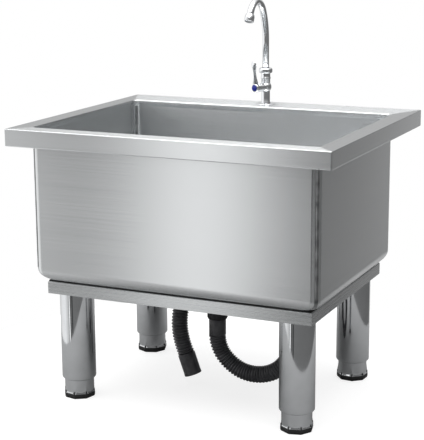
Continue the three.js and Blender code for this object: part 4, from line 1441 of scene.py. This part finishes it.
@dataclass
class Tap:
    """The pillar tap: body, swan-neck spout, cartridge and lever."""

    handle_height: float = 45 * MM
    handle_turn: float = -22.0
    blade_lean: float = 7.0
    base: Vector = field(default_factory=Vector)
    spout_radius: float = 8.6 * MM
    spout_foot: float = 82.4 * MM
    riser: float = 164.4 * MM
    bend_radius: float = 165 * MM
    bend: float = 28.0
    crook_radius: float = 45 * MM
    crook: float = 124.0
    outlet: float = 20 * MM

    def __post_init__(self) -> None:
        """Finds the middle of the tap's foot on the deck."""
        low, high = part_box("tap_flange")
        self.base = Vector(((low.x + high.x) / 2, (low.y + high.y) / 2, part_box("tub_rim")[1].z))

    def build(self) -> None:
        """Builds the tap's pieces."""
        upright = {
            "tap_flange": (self.flange(), CHROME),
            "tap_body": (self.body(), CHROME),
            "tap_shank": (self.shank(), BRASS),
            "tap_washer": (self.washer(), RUBBER),
            "tap_locknut": (self.locknut(), BRASS),
            "tap_spout_nut": (self.spout_nut(), CHROME),
        }
        for node, (mesh, finish) in upright.items():
            finished(node, moved(mesh, self.base), finish)
        across = {
            "tap_bonnet": (self.bonnet(), CHROME),
            "tap_cartridge": (self.cartridge(), BRASS),
            "tap_lever": (self.lever(), CHROME),
            "tap_index_button": (self.button(), BLUE),
        }
        for node, (mesh, finish) in across.items():
            finished(node, moved(mesh, self.handle_frame()), finish)
        spout, mouth = self.spout()
        finished("tap_spout", spout, CHROME, wall=1.3 * MM)
        finished("tap_aerator", moved(self.aerator(), mouth), CHROME)

    def handle_frame(self) -> Matrix:
        """Where the handle's axis is, as the matrix that takes Z to it."""
        turn = Matrix.Rotation(math.radians(self.handle_turn), 4, "Z")
        turn = turn @ Matrix.Rotation(math.pi / 2, 4, "X")
        return Matrix.Translation(self.base + Vector((0, 0, self.handle_height))) @ turn

    def flange(self) -> BMesh:
        """The domed foot flange on the deck."""
        profile = lengths([(12, 0.3), (25.5, 0.3), (25.5, 1.0), (24.6, 1.9), (22, 2.7), (17, 3), (12, 3)])
        return lathe(profile, 64, closed=True)

    def body(self) -> BMesh:
        """The valve body: a column, a round bulb, a collar and the side boss."""
        foot = [(7, 3.3), (12.2, 3.3), (12.2, 5), (11.2, 6.2), (11.2, 34)]
        bulb = arc((0, 45), 15, -42, 42, 14)
        collar = [(12, 56), (12, 65.2), (13, 66.6), (13.3, 68), (13, 69.4), (12, 70.6), (12, 80)]
        seat = [(10.6, 80.5), (10.6, 90), (9.3, 90), (9.3, 82), (7, 82)]
        column = lathe(lengths([*foot, *bulb, *collar, *seat]), 56, closed=True)
        side = [(7.9, 4), (10.5, 4), (10.5, 22.5), (10.1, 23.6), (9.4, 24), (7.9, 24)]
        boss = lathe(lengths(side), 40, closed=True)
        return merge(column, moved(boss, Matrix.Translation(-self.base) @ self.handle_frame()))

    def shank(self) -> BMesh:
        """The threaded shank below the deck."""
        pitch, count = 1.8, 24
        profile = [(7, -57), (9, -57)]
        for i in range(count):
            profile += [(10, -56 + i * pitch), (9.3, -56 + (i + 0.5) * pitch)]
        profile += [(10, -12), (10, 3), (7, 3)]
        return lathe(lengths(profile), 32, closed=True)

    def washer(self) -> BMesh:
        """The rubber washer under the deck."""
        return ring_of(10.6 * MM, 22 * MM, -5.3 * MM, -2.3 * MM, 48, 0.6 * MM)

    def locknut(self) -> BMesh:
        """The hexagon backnut under the washer, with its corners turned down."""
        low, high, flat = -17 * MM, -5.6 * MM, 15 * MM
        corner = flat / math.cos(math.pi / 6)
        nut = prism(6, corner, low, high)
        caps = [f for f in nut.faces if abs(f.normal.z) > 0.9]
        for cap in caps:
            bmesh.ops.inset_individual(nut, faces=[cap], thickness=3.5 * MM)
        middles = [f for f in nut.faces if abs(f.normal.z) > 0.9 and f.calc_center_median().xy.length < MM]
        bmesh.ops.delete(nut, geom=middles, context="FACES_ONLY")
        loops = [e for e in nut.edges if e.is_boundary]
        bmesh.ops.bridge_loops(nut, edges=loops)
        bmesh.ops.recalc_face_normals(nut, faces=nut.faces)
        return soften(nut, 0.7 * MM, 50)

    def spout_nut(self) -> BMesh:
        """The round nut that holds the spout, with a flared grip."""
        grip = [(15.6, 81), (16.6, 82), (17.5, 84.5), (17.5, 90), (16.4, 92.4), (14.4, 93.8), (12, 94)]
        profile = [(11, 81), *grip, (9.1, 94), (9.1, 90.4), (11, 90.4)]
        return lathe(lengths(profile), 56, closed=True)

    def spout(self) -> tuple[BMesh, Matrix]:
        """The swan neck: a straight riser, an easy bend, a tight crook and a short outlet.

        Returns:
            The tube's outer skin, and the matrix that takes Z to its outlet.
        """
        mesh = bmesh.new()
        bmesh.ops.create_circle(mesh, segments=32, radius=self.spout_radius)
        moved(mesh, self.base + Vector((0, 0, self.spout_foot)))
        edges = list(mesh.edges)
        rise = Vector((0, 0, self.riser - self.spout_foot))
        edges = self.draw_out(mesh, edges, rise)
        bend, crook = math.radians(self.bend), math.radians(self.crook)
        pivot = self.base + Vector((0, -self.bend_radius, self.riser))
        edges = self.turn_over(mesh, edges, pivot, bend, 10)
        spoke = Vector((0, math.cos(bend), math.sin(bend)))
        pivot = pivot + spoke * (self.bend_radius - self.crook_radius)
        edges = self.turn_over(mesh, edges, pivot, crook, 26)
        spoke = Vector((0, math.cos(bend + crook), math.sin(bend + crook)))
        way = Vector((0, -spoke.z, spoke.y))
        self.draw_out(mesh, edges, way * self.outlet)
        mouth = pivot + spoke * self.crook_radius + way * self.outlet
        face_out(mesh, self.base + Vector((1, 0, self.riser)))
        return mesh, Matrix.Translation(mouth) @ way.to_track_quat("Z", "X").to_matrix().to_4x4()

    def draw_out(self, mesh: BMesh, edges: list[BMEdge], way: Vector) -> list[BMEdge]:
        """Draws a loop of edges straight out and returns the new loop."""
        made = bmesh.ops.extrude_edge_only(mesh, edges=edges)["geom"]
        bmesh.ops.translate(mesh, vec=way, verts=[g for g in made if isinstance(g, BMVert)])
        return [g for g in made if isinstance(g, BMEdge)]

    def turn_over(
        self, mesh: BMesh, edges: list[BMEdge], pivot: Vector, angle: float, steps: int
    ) -> list[BMEdge]:
        """Spins a loop of edges about a level axis through a pivot and returns the last loop."""
        verts = list({v for e in edges for v in e.verts})
        made = bmesh.ops.spin(
            mesh, geom=verts + edges, cent=pivot, axis=(1, 0, 0), angle=angle, steps=steps)["geom_last"]
        return [g for g in made if isinstance(g, BMEdge)]

    def aerator(self) -> BMesh:
        """The outlet nozzle, turned about the spout's last straight, with its mesh insert."""
        profile = lengths([
            (8.95, -13), (10.6, -13), (11.2, -12.2), (11.2, -10), (12.0, -9), (12.3, -8), (12.3, 3.8),
            (11.6, 5), (9.9, 5), (9.5, 4.4), (9.5, 2.4), (6.5, 2), (6.5, 0.5), (8.95, 0.5)])
        nozzle = lathe(profile, 48, closed=True)
        insert = lathe(lengths([(0, 1.4), (6.4, 1.4), (6.4, 2.6), (0, 3.2)]), 24)
        return merge(nozzle, insert)

    def bonnet(self) -> BMesh:
        """The bright ring over the cartridge."""
        profile = lengths([(7.9, 24.3), (11.0, 24.3), (11.3, 25), (11.3, 29.3), (10.8, 30.1), (7.9, 30.1)])
        return lathe(profile, 48, closed=True)

    def cartridge(self) -> BMesh:
        """The brass valve cartridge with its spline."""
        spline = [(3.4, 30), (3.4, 33.5), (3, 33.9), (0, 33.9)]
        return lathe(lengths([(0, 9.4), (7.3, 9.4), (7.3, 29.6), (6.9, 30), *spline]), 32)

    def lever(self) -> BMesh:
        """The lever: a domed hub and a waisted blade with a round end, leaning away from the tap."""
        hub = lathe(lengths([
            (4, 30.5), (10.2, 30.5), (11.2, 31.6), (11.8, 34), (11.6, 37), (11, 39.4), (9.8, 40.8), (9.2, 41),
            (0, 41), (0, 34.3), (4, 34.3)]), 48)
        lean = Matrix.Translation((0, 0, 35.8 * MM)) @ Matrix.Rotation(math.radians(self.blade_lean), 4, "X")
        return merge(hub, moved(self.blade(), lean))

    def blade(self) -> BMesh:
        """The lever's blade, drawn through its oval sections from the hub to the tip."""
        blade = bmesh.new()
        bmesh.ops.create_circle(blade, segments=20, radius=1.0)
        edges = list(blade.edges)
        unit = [v.co.copy() for v in blade.verts]
        ring = list(blade.verts)
        for i, (along, wide, thick) in enumerate(BLADE_SECTIONS):
            if i:
                made = bmesh.ops.extrude_edge_only(blade, edges=edges)["geom"]
                ring = [g for g in made if isinstance(g, BMVert)]
                edges = [g for g in made if isinstance(g, BMEdge)]
            for vert, base in zip(ring, unit):
                vert.co = Vector((base.x * wide, along, base.y * thick)) * MM
        bmesh.ops.holes_fill(blade, edges=blade.edges, sides=0)
        bmesh.ops.recalc_face_normals(blade, faces=blade.faces)
        return blade

    def button(self) -> BMesh:
        """The domed colour button in the hub."""
        dome = [(8.6, 42.1), (8.1, 42.8), (6.6, 43.5), (3.6, 43.9), (0, 44)]
        return lathe(lengths([(0, 41.3), (8.6, 41.3), *dome]), 40)


# Turn of each foot about its own axis in degrees, as the feet happen to be screwed in.
FOOT_TURNS = {"front_left": 33, "front_right": 14, "rear_left": 20, "rear_right": 40}


def main() -> None:
    """Builds the studio and every sub-assembly, in order."""
    logging.basicConfig(level=logging.INFO, format="%(message)s")
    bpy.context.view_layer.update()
    studio = Studio()
    studio.camera()
    DrainHose().build()
    Bowl().build()
    Rim().build()
    BaseFrame().build()
    for name, turn in FOOT_TURNS.items():
        Leg(name, turn).build()
    Drain().build()
    Tap().build()
    studio.floor()
    studio.overhead()
    studio.walls()


if __name__ == "__main__":
    main()
